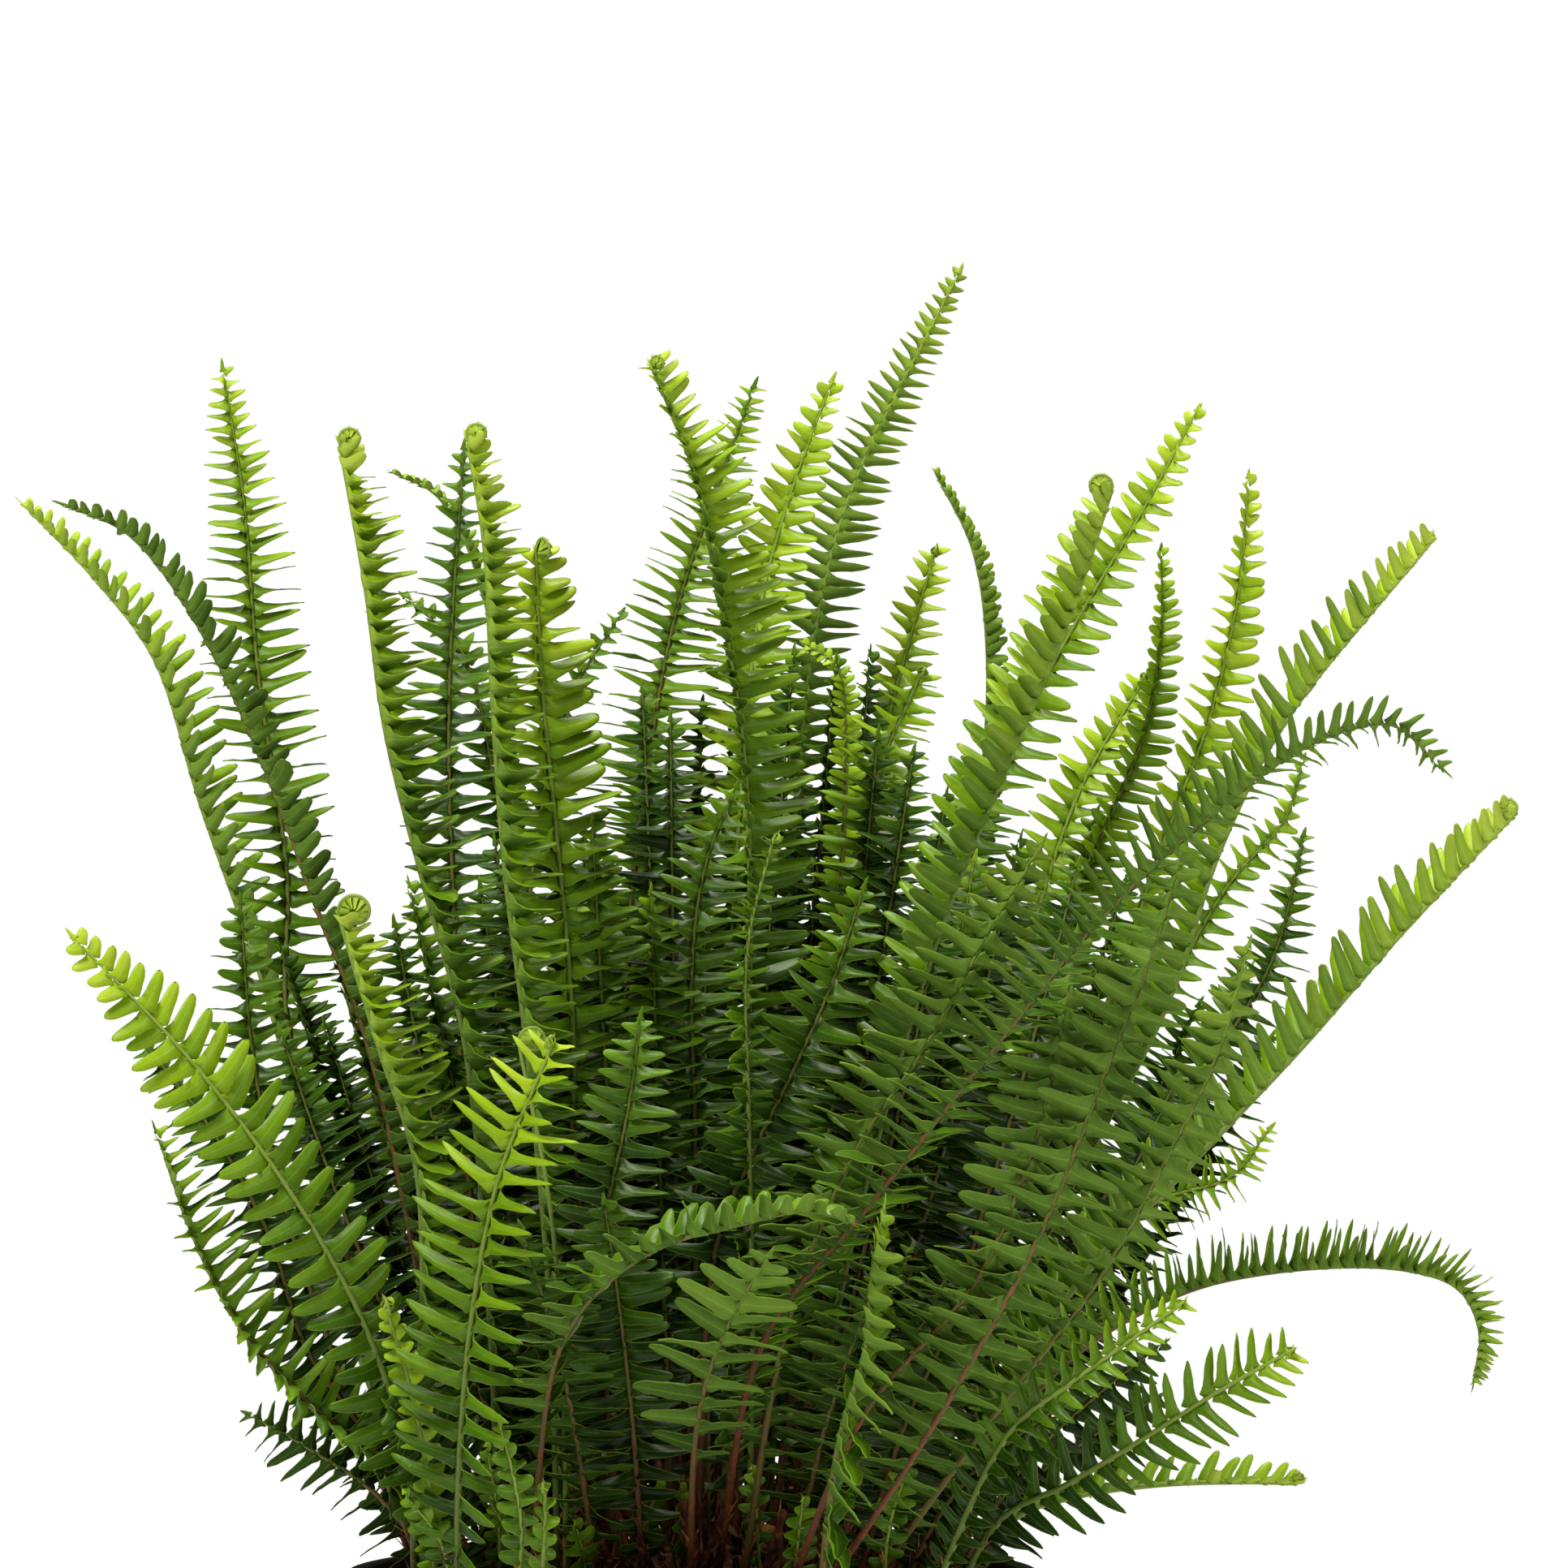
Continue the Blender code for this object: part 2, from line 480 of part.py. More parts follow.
def pot_outline():
    """Section of the pot, down the outside from its inner top edge, and back up the inside."""
    top = POT_HEIGHT
    lip_wall = 0.0014
    shoulder = top - SHOULDER_DROP
    inner = [
        (0, WALL + 0.0002),
        (CHANNEL_INNER_RADIUS + 0.001, WALL + 0.0002),
        (CHANNEL_INNER_RADIUS + 0.003, CHANNEL_RISE + WALL),
        (CHANNEL_OUTER_RADIUS - 0.003, CHANNEL_RISE + WALL),
        (CHANNEL_OUTER_RADIUS - 0.001, WALL + 0.0002),
        (FOOT_RADIUS - WALL - 0.001, WALL + 0.0002),
        (SHOULDER_RADIUS - SHOULDER_STEP - WALL, shoulder - 0.002),
        (SHOULDER_RADIUS - WALL, shoulder),
        (WALL_TOP_RADIUS - WALL, top - 0.001),
        (WALL_TOP_RADIUS - WALL + 0.001, top),
    ]
    outer = [
        (LIP_RADIUS - 0.001, top),
        (LIP_RADIUS, top - 0.001),
        (LIP_RADIUS, top - LIP_DROP),
        (LIP_RADIUS - lip_wall, top - LIP_DROP),
        (LIP_RADIUS - lip_wall, top - 0.003),
        (WALL_TOP_RADIUS, top - 0.003),
        (SHOULDER_RADIUS, shoulder),
        (SHOULDER_RADIUS - SHOULDER_STEP, shoulder - 0.002),
        (FOOT_RADIUS, 0.001),
        (FOOT_RADIUS - 0.001, 0),
        (CHANNEL_OUTER_RADIUS, 0),
        (CHANNEL_OUTER_RADIUS - 0.002, CHANNEL_RISE),
        (CHANNEL_INNER_RADIUS + 0.002, CHANNEL_RISE),
        (CHANNEL_INNER_RADIUS, 0),
        (0, 0),
    ]
    return [inner[-1], *outer], inner


def add_pot(collection, cutters, finish):
    outside, inside = pot_outline()
    pot = turned("nursery_pot", outside + inside, POT_STEPS, collection, finish)
    middle = (CHANNEL_INNER_RADIUS + CHANNEL_OUTER_RADIUS) / 2
    holes = bpy.data.meshes.new("drain_holes")
    bm = bmesh.new()
    for n in range(DRAIN_COUNT):
        turn = math.tau * (n + 0.5) / DRAIN_COUNT
        made = bmesh.ops.create_cone(
            bm, cap_ends=True, segments=12, radius1=DRAIN_RADIUS, radius2=DRAIN_RADIUS, depth=0.03)
        place = (middle * math.cos(turn), middle * math.sin(turn), 0)
        bmesh.ops.translate(bm, verts=made["verts"], vec=place)
    bm.to_mesh(holes)
    bm.free()
    cutter = bpy.data.objects.new("drain_holes", holes)
    cutters.objects.link(cutter)
    cutter.hide_render = True
    cutter.display_type = "WIRE"
    cut = pot.modifiers.new("Drain holes", "BOOLEAN")
    cut.operation = "DIFFERENCE"
    cut.object = cutter
    return pot


def add_soil(collection, finish):
    shoulder = POT_HEIGHT - SHOULDER_DROP
    inside = -WALL - SOIL_GAP
    outline = [
        (0, soil_top()),
        (WALL_TOP_RADIUS + inside - 0.0012, soil_top()),
        (SHOULDER_RADIUS + inside, shoulder),
        (SHOULDER_RADIUS - SHOULDER_STEP + inside - 0.0004, shoulder - 0.003),
        (FOOT_RADIUS + inside - 0.0005, CHANNEL_RISE + WALL + REST_GAP),
        (0, CHANNEL_RISE + WALL + REST_GAP),
    ]
    return turned("potting_soil", outline, SOIL_STEPS, collection, finish)


def add_crown(collection, finish):
    rings = 5
    outline = [(CROWN_RADIUS * n / rings, CROWN_HEIGHT * (1 - (n / rings) ** 2)) for n in range(rings)]
    outline += [(CROWN_RADIUS, 0), (0, 0)]
    crown = turned("rhizome_crown", outline, 24, collection, finish)
    crown.location = (*CROWN_CENTRE, soil_top() + REST_GAP)
    return crown


def world_tree(obj, graph):
    mesh = obj.evaluated_get(graph).to_mesh()
    points = [obj.matrix_world @ v.co for v in mesh.vertices]
    return BVHTree.FromPolygons(points, [tuple(p.vertices) for p in mesh.polygons])


def build():
    for obj in list(bpy.data.objects):
        bpy.data.objects.remove(obj)
    plant = bpy.data.collections.new("potted_fern")
    cutters = bpy.data.collections.new("cutters")
    for collection in (plant, cutters):
        bpy.context.scene.collection.children.link(collection)
    black = material("black_plastic", (0.012, 0.012, 0.013), 0.45)
    peat = material("peat", (0.035, 0.018, 0.010), 0.95)
    scales = material("brown_scales", (0.09, 0.035, 0.015), 0.9)
    greens = {tone: material(f"{tone}_green", colour, 0.55) for tone, colour in TONES.items()}
    fixed_objects = {
        "nursery_pot": add_pot(plant, cutters, black),
        "potting_soil": add_soil(plant, peat),
        "rhizome_crown": add_crown(plant, scales),
    }
    bpy.context.view_layer.update()
    graph = bpy.context.evaluated_depsgraph_get()
    fixed = {name: world_tree(obj, graph) for name, obj in fixed_objects.items()}
    shapes = {name: FrondShape(frond) for name, frond in FRONDS.items()}
    stuck = clear_each_other(shapes, fixed)
    for pair in stuck:
        print("stalks meet:", *pair)
    for name, shape in shapes.items():
        mesh = bpy.data.meshes.new(name)
        shape.bm.to_mesh(mesh)
        add_object(name, mesh, plant, greens[FRONDS[name].tone])


build()
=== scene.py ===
"""Looks of the potted sword fern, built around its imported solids.

Metres, +Z up, the origin under the pot's middle and -Y the front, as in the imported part.
Every frond is a tapering stalk with two rows of leaflets, and it stands for the frond of the same
name. The leaflets are copies of a few that are modelled once.
"""

import math
import random
from collections import namedtuple

import bpy
import bmesh
from mathutils import Matrix, Vector


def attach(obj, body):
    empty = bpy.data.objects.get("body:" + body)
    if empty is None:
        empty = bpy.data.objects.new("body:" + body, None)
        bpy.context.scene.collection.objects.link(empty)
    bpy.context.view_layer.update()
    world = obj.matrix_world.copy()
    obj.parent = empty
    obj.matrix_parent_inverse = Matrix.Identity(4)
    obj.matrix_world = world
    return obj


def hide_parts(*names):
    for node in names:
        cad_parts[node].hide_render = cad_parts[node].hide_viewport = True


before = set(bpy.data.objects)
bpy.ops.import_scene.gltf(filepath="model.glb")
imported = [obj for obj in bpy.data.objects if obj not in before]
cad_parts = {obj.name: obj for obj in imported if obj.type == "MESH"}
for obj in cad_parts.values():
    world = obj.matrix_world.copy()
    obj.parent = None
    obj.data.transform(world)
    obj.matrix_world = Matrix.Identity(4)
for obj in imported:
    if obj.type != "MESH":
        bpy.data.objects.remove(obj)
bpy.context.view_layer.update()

CM = 0.01
MM = 0.001

# The pot, the same sizes as its solid.
POT_HEIGHT = 0.190
LIP_RADIUS = 0.120
LIP_DROP = 0.010
LIP_WALL = 0.0014
RIM_THICKNESS = 0.003
WALL = 0.0016
WALL_TOP_RADIUS = 0.1165
SHOULDER_HEIGHT = 0.154
SHOULDER_STEP = 0.0020
SHOULDER_RADIUS = 0.1125
FOOT_RADIUS = 0.0880
FLOOR_THICKNESS = 0.0018
CHANNEL_INNER_RADIUS = 0.058
CHANNEL_OUTER_RADIUS = 0.079
CHANNEL_RISE = 0.004
CHANNEL_SLOPE = 0.002
DRAIN_COUNT = 8
DRAIN_RADIUS = 0.0065
# The corner that is cut off the edges, and the round that the mould leaves on what remains.
CORNER = 0.001
CORNER_ROUND = 0.0004
POT_SIDES = 128

# Soil and crown.
SOIL_TOP = 0.180
SOIL_RADIUS = 0.1125
CROWN_CENTRE = (0.008, -0.010)
CROWN_RADIUS = 0.060
CROWN_HEIGHT = 0.018
# How deep the frond stalks start in the soil or the crown.
BURIED = 0.006

# The eye that the front elevation of the fronds is drawn for, what it takes in across at the
# origin, and by how much the depths of the elevation are stretched.
EYE = Vector((0.0317, -3.0, POT_HEIGHT + 0.2717))
VIEW_WIDTH = 0.5416
SENSOR_MM = 36
DEPTH_SPREAD = 1.3

# The studio: its light, its floor and its softboxes as (name, place, what it is turned to, size
# and watts).
ROOM_LIGHT = 0.045
WARM_WHITE = (1.0, 0.98, 0.88, 1.0)
STUDIO_RADIUS = 2.1
SOFTBOXES = [
    ("key_softbox", (-1.4, -1.8, 2.8), (0, 0, 0.4), (1.2, 1.2), 108),
    ("fill_softbox", (2.2, -1.8, 1.5), (0, 0, 0.45), (1.0, 1.2), 28),
    ("top_softbox", (0.3, 0.4, 2.8), (0, 0, 0.4), (1.4, 1.4), 76),
]

# Frond lines: the distance between stations, the points between two given ones, how far a frond's
# upper side looks up, and the coil of a young tip.
STEP = 0.0015
SAMPLES_PER_SPAN = 24
FACING_LIFT = 0.4
CURL_STEPS = 36
CURL_TURNS = 1.6
CURL_DRAWN_IN = 0.68

# Stalks: the radius at the tip, how much thicker the foot is, and a shoot's share of that.
STALK_TIP = 0.00036
STALK_TAPER = 0.00105
SHOOT_THICKNESS = 0.8

# Leaflets: their spacing, how much closer they get towards the tip, the fold from which they show
# their edge, how their freshness varies, and the sizes of those on a coil and at an open tip.
LEAFLET_PITCH = 0.0074
CROWDING = 0.35
TWISTED_FOLD = 50
FRESH_SPREAD = 0.09
COIL_LEAFLET_WIDTH = 0.0050
COIL_LEAFLET_LIFT = 62
END_LEAFLET_WIDTH = 0.0030
END_LEAFLET_SHARE = 0.26

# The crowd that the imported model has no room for: inside, low at the front and sides, at the back,
# and the small shoots.
INNER_FRONDS = 54
LOW_FRONDS = 20
BACK_FRONDS = 22
SMALL_SHOOTS = 10

# What lies and stands on the soil and the stalks.
CRUMBS = 520
CHIPS = 70
OLD_STUBS = 110
ROOTS = 34
ROOT_STRIDE = 0.0034
FALLEN_LEAFLETS = 46
SCALES_PER_STUB = 7
SCALES_PER_STALK = 16
SCALED_LENGTH = 0.045
HAIR_SPACING = 0.0060
HAIRS_AT_A_PLACE = 3
HAIRY_TONES = ("young", "pale", "shoot")

# tone; reach, the longest leaflet, in cm; fold, how far the leaflets rise out of the flat, in
# degrees; facing, where the upper side looks, in degrees from +X towards +Y; curl, the radius of a
# coiled tip, in cm; path, the base as (x, y) and then (x, depth, height above the rim), in cm.
Frond = namedtuple("Frond", "tone reach fold facing curl path")

FRONDS = {
    # Left side.
    "left_frond_01": Frond("young", 1.8, 60, -20, 0, [
        (-8.5, 5), (-12, 8, 9), (-14.6, 10, 19.5), (-17, 11, 26.5), (-18.6, 11.5, 31.5), (-20.7, 12, 34.3),
        (-23.1, 12, 36.8)]),
    "left_frond_02": Frond("olive", 1.8, 30, 20, 0, [
        (-7.5, -0.5), (-9.8, 0, 12), (-11.4, 0.5, 18.8), (-12.9, 1, 22.7), (-14.6, 1.5, 27.3),
        (-17, 1.5, 32.5), (-19.5, 2, 35.8), (-21.7, 2, 36.8)]),
    "left_frond_03": Frond("mid", 2.0, 15, -75, 0, [
        (-8, 2.5), (-12, 4.5, 11), (-14, 5.5, 19), (-14, 6, 24), (-15, 6.5, 31), (-15.5, 7, 37),
        (-16.2, 7, 41.4)]),
    "left_frond_04": Frond("young", 2.2, 66, -20, 0.42, [
        (-6.5, -2.5), (-7, -4, 9), (-7.9, -5, 18.5), (-9.3, -5.5, 23.8), (-10.6, -6, 29), (-11.3, -6, 34),
        (-12.2, -6, 39)]),
    "left_frond_05": Frond("mid", 1.2, 40, 0, 0, [
        (-5, 6), (-5.6, 8, 14), (-6.3, 9.5, 26), (-7.3, 10, 34), (-8.8, 10, 37.1), (-10.3, 10, 37.9)]),
    "left_frond_06": Frond("dark", 1.8, 20, -90, 0, [
        (-6, 2), (-7.6, 3, 12), (-8.2, 4, 22), (-8.4, 4.5, 30), (-7.9, 5, 38.7)]),
    "left_frond_07": Frond("dark", 1.4, 20, -60, 0, [
        (-4.5, 4.5), (-5.2, 6, 13), (-6, 7, 21), (-6.9, 7.5, 27.5), (-8, 7.5, 31.8), (-9.9, 7.5, 33.6)]),
    "left_frond_08": Frond("young", 2.0, 64, -15, 0.38, [
        (-4.5, -3.5), (-4.9, -5.5, 9), (-5.7, -6.5, 18), (-6.5, -7, 24.5), (-6.9, -7, 30), (-7.2, -7, 35.5),
        (-7.8, -7, 39.2)]),
    "left_frond_09": Frond("young", 2.4, 20, -60, 0.48, [
        (-3.2, -1), (-4.3, -2, 10), (-4.1, -3, 18), (-4.7, -3, 25.5), (-5.2, -3, 30.5), (-5.4, -3, 35.2)]),
    "left_frond_10": Frond("dark", 1.5, 20, -90, 0, [
        (-5.5, 7.5), (-6, 9.5, 15), (-5.4, 12, 25), (-4.3, 13, 30), (-2.5, 13.5, 33)]),
    "left_frond_11": Frond("young", 2.0, 5, -80, 0, [
        (-7, -4), (-9.8, -6.5, 4.5), (-11.7, -8, 9.3), (-14.1, -9, 13.4), (-17.3, -10, 17.6),
        (-21.3, -11, 21.8)]),
    "left_frond_12": Frond("dark", 1.7, 20, -80, 0, [
        (-7.5, -1.5), (-11.3, -3, 4.7), (-13.4, -4, 7.8), (-14.6, -4.5, 11.5), (-16.6, -5, 15.2),
        (-19.1, -5, 18.4)]),
    "left_frond_13": Frond("olive", 1.9, 40, -35, 0, [
        (-8.6, -2.4), (-11, -5, 3.8), (-13.3, -6.5, 5.8), (-15.6, -7.5, 8.4), (-17.1, -8, 11.2),
        (-18.5, -8, 15.1)]),
    "left_frond_14": Frond("young", 2.1, 66, -20, 0.62, [
        (-9.4, -4.3), (-9.6, -4.9, 4), (-9.3, -6, 10), (-9.6, -6.8, 14.3), (-10.8, -7.4, 18),
        (-12.2, -7.6, 22.6)]),
    "left_frond_15": Frond("shoot", 0.7, 20, -80, 0.36, [
        (-8.6, -5.8), (-9.1, -7, 3), (-9.8, -8, 6.5), (-10.6, -8.5, 9.2)]),
    "left_frond_16": Frond("dark", 1.8, 20, -90, 0, [
        (-9, 1.5), (-12.6, 2, 8), (-14.2, 2, 13), (-15.2, 2, 18), (-15.6, 2, 23)]),
    # Centre.
    "centre_frond_01": Frond("dark", 2.0, 15, -85, 0, [
        (-1.5, 3), (-2.3, 4, 13), (-2.2, 5, 22), (-1.5, 5.5, 28), (-0.5, 6, 33.3), (2.1, 6, 40.8)]),
    "centre_frond_02": Frond("young", 2.4, 35, -40, 0.3, [
        (1, -2.5), (1.6, -4, 12), (2, -5, 21), (1.8, -5.5, 28), (1, -5.5, 33.3), (0.1, -5.5, 37.8),
        (-1.4, -5.5, 41.6)]),
    "centre_frond_03": Frond("pale", 1.9, 15, -90, 0, [
        (0.8, 4.5), (1, 5.5, 14), (1.5, 6, 24), (2.3, 6.5, 33), (3.4, 7, 37.2), (4.8, 7, 41)]),
    "centre_frond_04": Frond("pale", 1.6, 15, 90, 0, [
        (2.6, 5.5), (3, 7.5, 13), (3.4, 9, 24), (4.3, 9.5, 32.7), (5.5, 10, 37.3), (9.2, 10, 44.8)]),
    "centre_frond_05": Frond("dark", 1.0, 20, -60, 0, [
        (3.8, 3), (4.6, 3.5, 14), (5.1, 4, 23), (5.3, 4, 28.7), (5, 4, 31.2), (3.9, 4, 32)]),
    "centre_frond_06": Frond("young", 1.5, 20, -90, 0.2, [
        (4, 7.5), (5, 9.5, 15), (6.2, 11, 27), (7.3, 11.5, 31.4), (8.4, 11.5, 35.2)]),
    "centre_frond_07": Frond("mid", 2.0, 20, -80, 0.25, [
        (3.3, -0.5), (4.3, -1, 12), (5.8, -1, 22), (6.3, -1, 27), (7.9, -1, 31)]),
    "centre_frond_08": Frond("dark", 2.1, 20, -90, 0, [
        (0, -0.8), (0.1, -1.5, 9), (0.1, -2, 15), (0, -2.2, 21), (0.5, -2.2, 24.5), (1.5, -2.2, 27)]),
    "centre_frond_09": Frond("shoot", 0.9, 20, -60, 0.2, [
        (1.9, -3.8), (2.1, -6, 8), (1.95, -7.5, 16), (1.9, -8, 21.5), (2.8, -8, 25.3)]),
    "centre_frond_10": Frond("dark", 1.9, 15, -90, 0, [
        (0.2, -2.6), (0.8, -4.5, 11), (2, -6, 14.2), (3.6, -7, 17.5), (4.8, -7.3, 20.2), (5.9, -7.5, 23.5)]),
    "centre_frond_11": Frond("shoot", 0.0, 0, 0, 0.5, [
        (-4.2, -5), (-4.5, -7, 8), (-5, -8.5, 13.2), (-6, -9, 18.2)]),
    "centre_frond_12": Frond("olive", 2.2, 10, 90, 0, [
        (0, -6), (0.1, -9, 4.5), (0.6, -11, 6.9), (1.5, -12.5, 9), (2.6, -13.5, 10.8)]),
    "centre_frond_13": Frond("olive", 1.8, 40, 140, 0, [
        (-5.3, -5.4), (-5.3, -8, 3.5), (-4.6, -10.5, 7.6), (-3.2, -12, 9.7), (-1, -13, 11.2),
        (1.5, -13.5, 11.9), (4, -13.8, 12.4), (5.6, -14, 12)]),
    "centre_frond_14": Frond("young", 2.5, 25, -110, 0.28, [
        (-7.9, -6.4), (-8, -8.6, 4.5), (-7.5, -10.5, 9.5), (-6.6, -11.3, 13.8), (-4.8, -11.6, 18.2)]),
    "centre_frond_15": Frond("shoot", 0.5, 20, -90, 0.22, [
        (-5.2, -8.3), (-5.1, -9, 1.2), (-5.1, -9.3, 2.9)]),
    "centre_frond_16": Frond("shoot", 0.7, 20, -90, 0, [
        (-6, -7.4), (-5.9, -9, 1.5), (-6.2, -9.7, 3.4), (-6.7, -10, 5.2)]),
    "centre_frond_17": Frond("dark", 1.9, 20, -90, 0, [
        (-2.4, -4.2), (-3, -6.5, 7), (-3, -8, 12), (-2.2, -8.6, 16), (-1.8, -9, 19)]),
    # Right side.
    "right_frond_01": Frond("mid", 1.1, 55, 0, 0, [
        (5.5, 5.5), (8, 8, 14), (9.6, 9, 24), (10.2, 9.5, 31), (9.7, 9.5, 35.2), (8.4, 9.5, 37.9)]),
    "right_frond_02": Frond("young", 2.1, 60, -160, 0.45, [
        (3.5, -4), (5, -6, 9), (7.4, -7.5, 18.5), (9.2, -8, 23.8), (11.1, -8.5, 28.3), (13, -8.5, 32.8),
        (14.5, -8.5, 37.3)]),
    "right_frond_03": Frond("young", 1.6, 20, -100, 0, [
        (5, 1.5), (7, 2, 13), (9.3, 2.5, 24), (11.4, 3, 29.2), (13.4, 3, 33), (15.5, 3, 36.5),
        (17.4, 3, 40)]),
    "right_frond_04": Frond("young", 1.4, 20, -90, 0.25, [
        (7, 6.5), (10, 9, 15), (13.2, 10.5, 26.5), (15.6, 11, 30.8)]),
    "right_frond_05": Frond("dark", 1.3, 40, -60, 0, [
        (6.5, 3.5), (10.2, 5, 13), (13.6, 5.5, 24), (15.6, 6, 29), (16.2, 6, 32.5), (16.2, 6, 35.2)]),
    "right_frond_06": Frond("pale", 1.5, 30, -50, 0, [
        (8, 4.5), (12.5, 7, 14), (16.2, 9, 25), (17.9, 9.5, 29.6), (18.9, 9.5, 34), (19.2, 9.5, 37.7)]),
    "right_frond_07": Frond("young", 2.0, 58, 160, 0.2, [
        (7, -0.5), (12, -0.5, 11), (16.4, -0.5, 19.5), (18.3, -0.5, 25), (20.5, -0.5, 29.3),
        (25.6, -0.5, 35.6)]),
    "right_frond_08": Frond("olive", 2.3, 20, 120, 0, [
        (0.8, -4.4), (2.5, -9, 8), (6.1, -12, 12.6), (9.9, -14, 17.4), (14, -15.5, 22.4), (17.8, -16, 26),
        (21.5, -16.5, 28.6), (24.2, -16.5, 29.2), (25.8, -16.5, 27.8)]),
    "right_frond_09": Frond("mid", 2.1, 15, 100, 0, [
        (1.6, -5.6), (3.3, -7.5, 8.5), (5.6, -9, 14.4), (8, -10, 18), (10, -10.8, 21.6), (12, -11, 25)]),
    "right_frond_10": Frond("olive", 2.0, 15, 95, 0, [
        (3.6, -6.2), (9.1, -11.5, 6.3), (12, -13, 11.6), (14.3, -13.5, 17.3), (16, -13.5, 21.6),
        (17, -13.5, 25)]),
    "right_frond_11": Frond("olive", 1.9, 15, 90, 0, [
        (2.8, -7.4), (6, -10.5, 5.5), (9.8, -12.5, 10), (11.9, -13.2, 15), (12.8, -13.2, 19),
        (13.3, -13, 22)]),
    "right_frond_12": Frond("mid", 1.9, 20, 105, 0, [
        (5, -5), (10.9, -9, 6), (14, -10.5, 10), (16.4, -11, 14.3), (18.2, -11, 18), (19.2, -11, 21.5)]),
    "right_frond_13": Frond("young", 2.2, 62, 160, 0.35, [
        (6.6, -2.6), (13, -5.5, 9.5), (17.2, -7, 14), (21, -7.5, 18), (24.6, -8, 22.1), (28.4, -8, 26.1)]),
    "right_frond_14": Frond("dark", 1.6, 20, -90, 0, [
        (7.6, 1.6), (13, 2.4, 11), (18.2, 3, 18), (20, 3, 21), (20.8, 3, 23.8), (21.1, 3, 25.3)]),
    "right_frond_15": Frond("mid", 1.2, 20, -90, 0, [
        (6.3, 8.5), (13, 12, 13), (18.4, 13, 23.5), (20.5, 13, 26), (21.1, 13, 28)]),
    "right_frond_16": Frond("mid", 1.5, 20, -110, 0, [
        (8.6, -1.6), (12.5, -2.4, 9.5), (16, -3, 12.7), (18.6, -3, 13.6), (19.9, -3, 15.2)]),
    "right_frond_17": Frond("dark", 1.7, 70, 170, 0, [
        (7.6, -4.6), (12, -6.5, 6.3), (16.5, -8, 9.4), (20, -8.5, 10.3), (24.5, -9, 10.4), (26.5, -9, 9.7),
        (27.2, -9, 8.2), (27, -9, 6.6)]),
    "right_frond_18": Frond("young", 1.2, 20, -100, 0.2, [
        (7.6, -6.8), (11, -10, 4.8), (13, -11.5, 6.4), (15.2, -12.5, 8), (16.9, -13, 9.2)]),
    "right_frond_19": Frond("young", 1.8, 10, -100, 0.2, [
        (8.4, -5.2), (10.6, -5.4, 1.7), (13, -7, 3), (15.5, -8.5, 4.5), (18.2, -9.8, 6.2),
        (20.7, -10.5, 7.6)]),
    "right_frond_20": Frond("pale", 1.2, 40, 175, 0.22, [
        (9.2, -2.8), (11, -3.4, 1.7), (13, -4, 2.5), (16, -4.5, 2.95), (19, -5, 3.05), (20.9, -5, 3)]),
    "right_frond_21": Frond("mid", 2.4, 25, -20, 0, [
        (4.2, -8.6), (5.1, -11.2, 4.6), (6, -12.4, 7.7), (6.2, -12.8, 10), (6.6, -13, 12.4)]),
    # Back, out of the front view.
    "back_frond_01": Frond("mid", 1.9, 20, -90, 0, [
        (-3, 7), (-4.5, 10.5, 9), (-5.5, 14, 15), (-6.5, 17, 18), (-7.5, 19.5, 18)]),
    "back_frond_02": Frond("mid", 1.9, 20, -90, 0, [
        (1.2, 7.6), (1.5, 10.5, 10), (2, 14, 17), (2, 17, 21), (1.5, 19.5, 22)]),
    "back_frond_03": Frond("dark", 1.9, 20, -100, 0, [
        (4.8, 9), (8, 12, 8), (10, 15.5, 14), (11.5, 18, 17.5), (12.5, 20, 18)]),
}

# How a frond's tone shows: freshness of its leaflets at the foot and at the tip, from 0, old and
# dark, to 1, just opened; rust, how brown its stalk is; louvre, how far its leaflets turn their
# upper faces up, in degrees; and how blunt they are, as the share of blunt ones.
Tone = namedtuple("Tone", "foot tip rust louvre blunt")

TONES = {
    "young": Tone(0.22, 0.92, 0.35, 6, 0.7),
    "pale": Tone(0.42, 0.92, 0.3, 2, 0.6),
    "mid": Tone(0.20, 0.70, 0.8, 12, 0.2),
    "dark": Tone(0.04, 0.44, 1.0, 14, 0.1),
    "olive": Tone(0.20, 0.50, 1.1, 4, 0.5),
    "shoot": Tone(0.50, 0.80, 0.15, 8, 0.8),
}

# How a frond differs from the others of its tone: the shape of its leaflets; their width and
# spacing as shares of the usual ones; how much more they lean towards the frond's tip; the bare
# share of its stalk; and how much fresher its leaflets are. For the crowd inside and low in the
# plant, a negative shade is painted shade: their leaflets are coloured darker where shade falls.
Style = namedtuple(
    "Style", "shape width pitch lean bare shade", defaults=(None, 1.15, 1.0, 0.0, 0.08, 0.0))

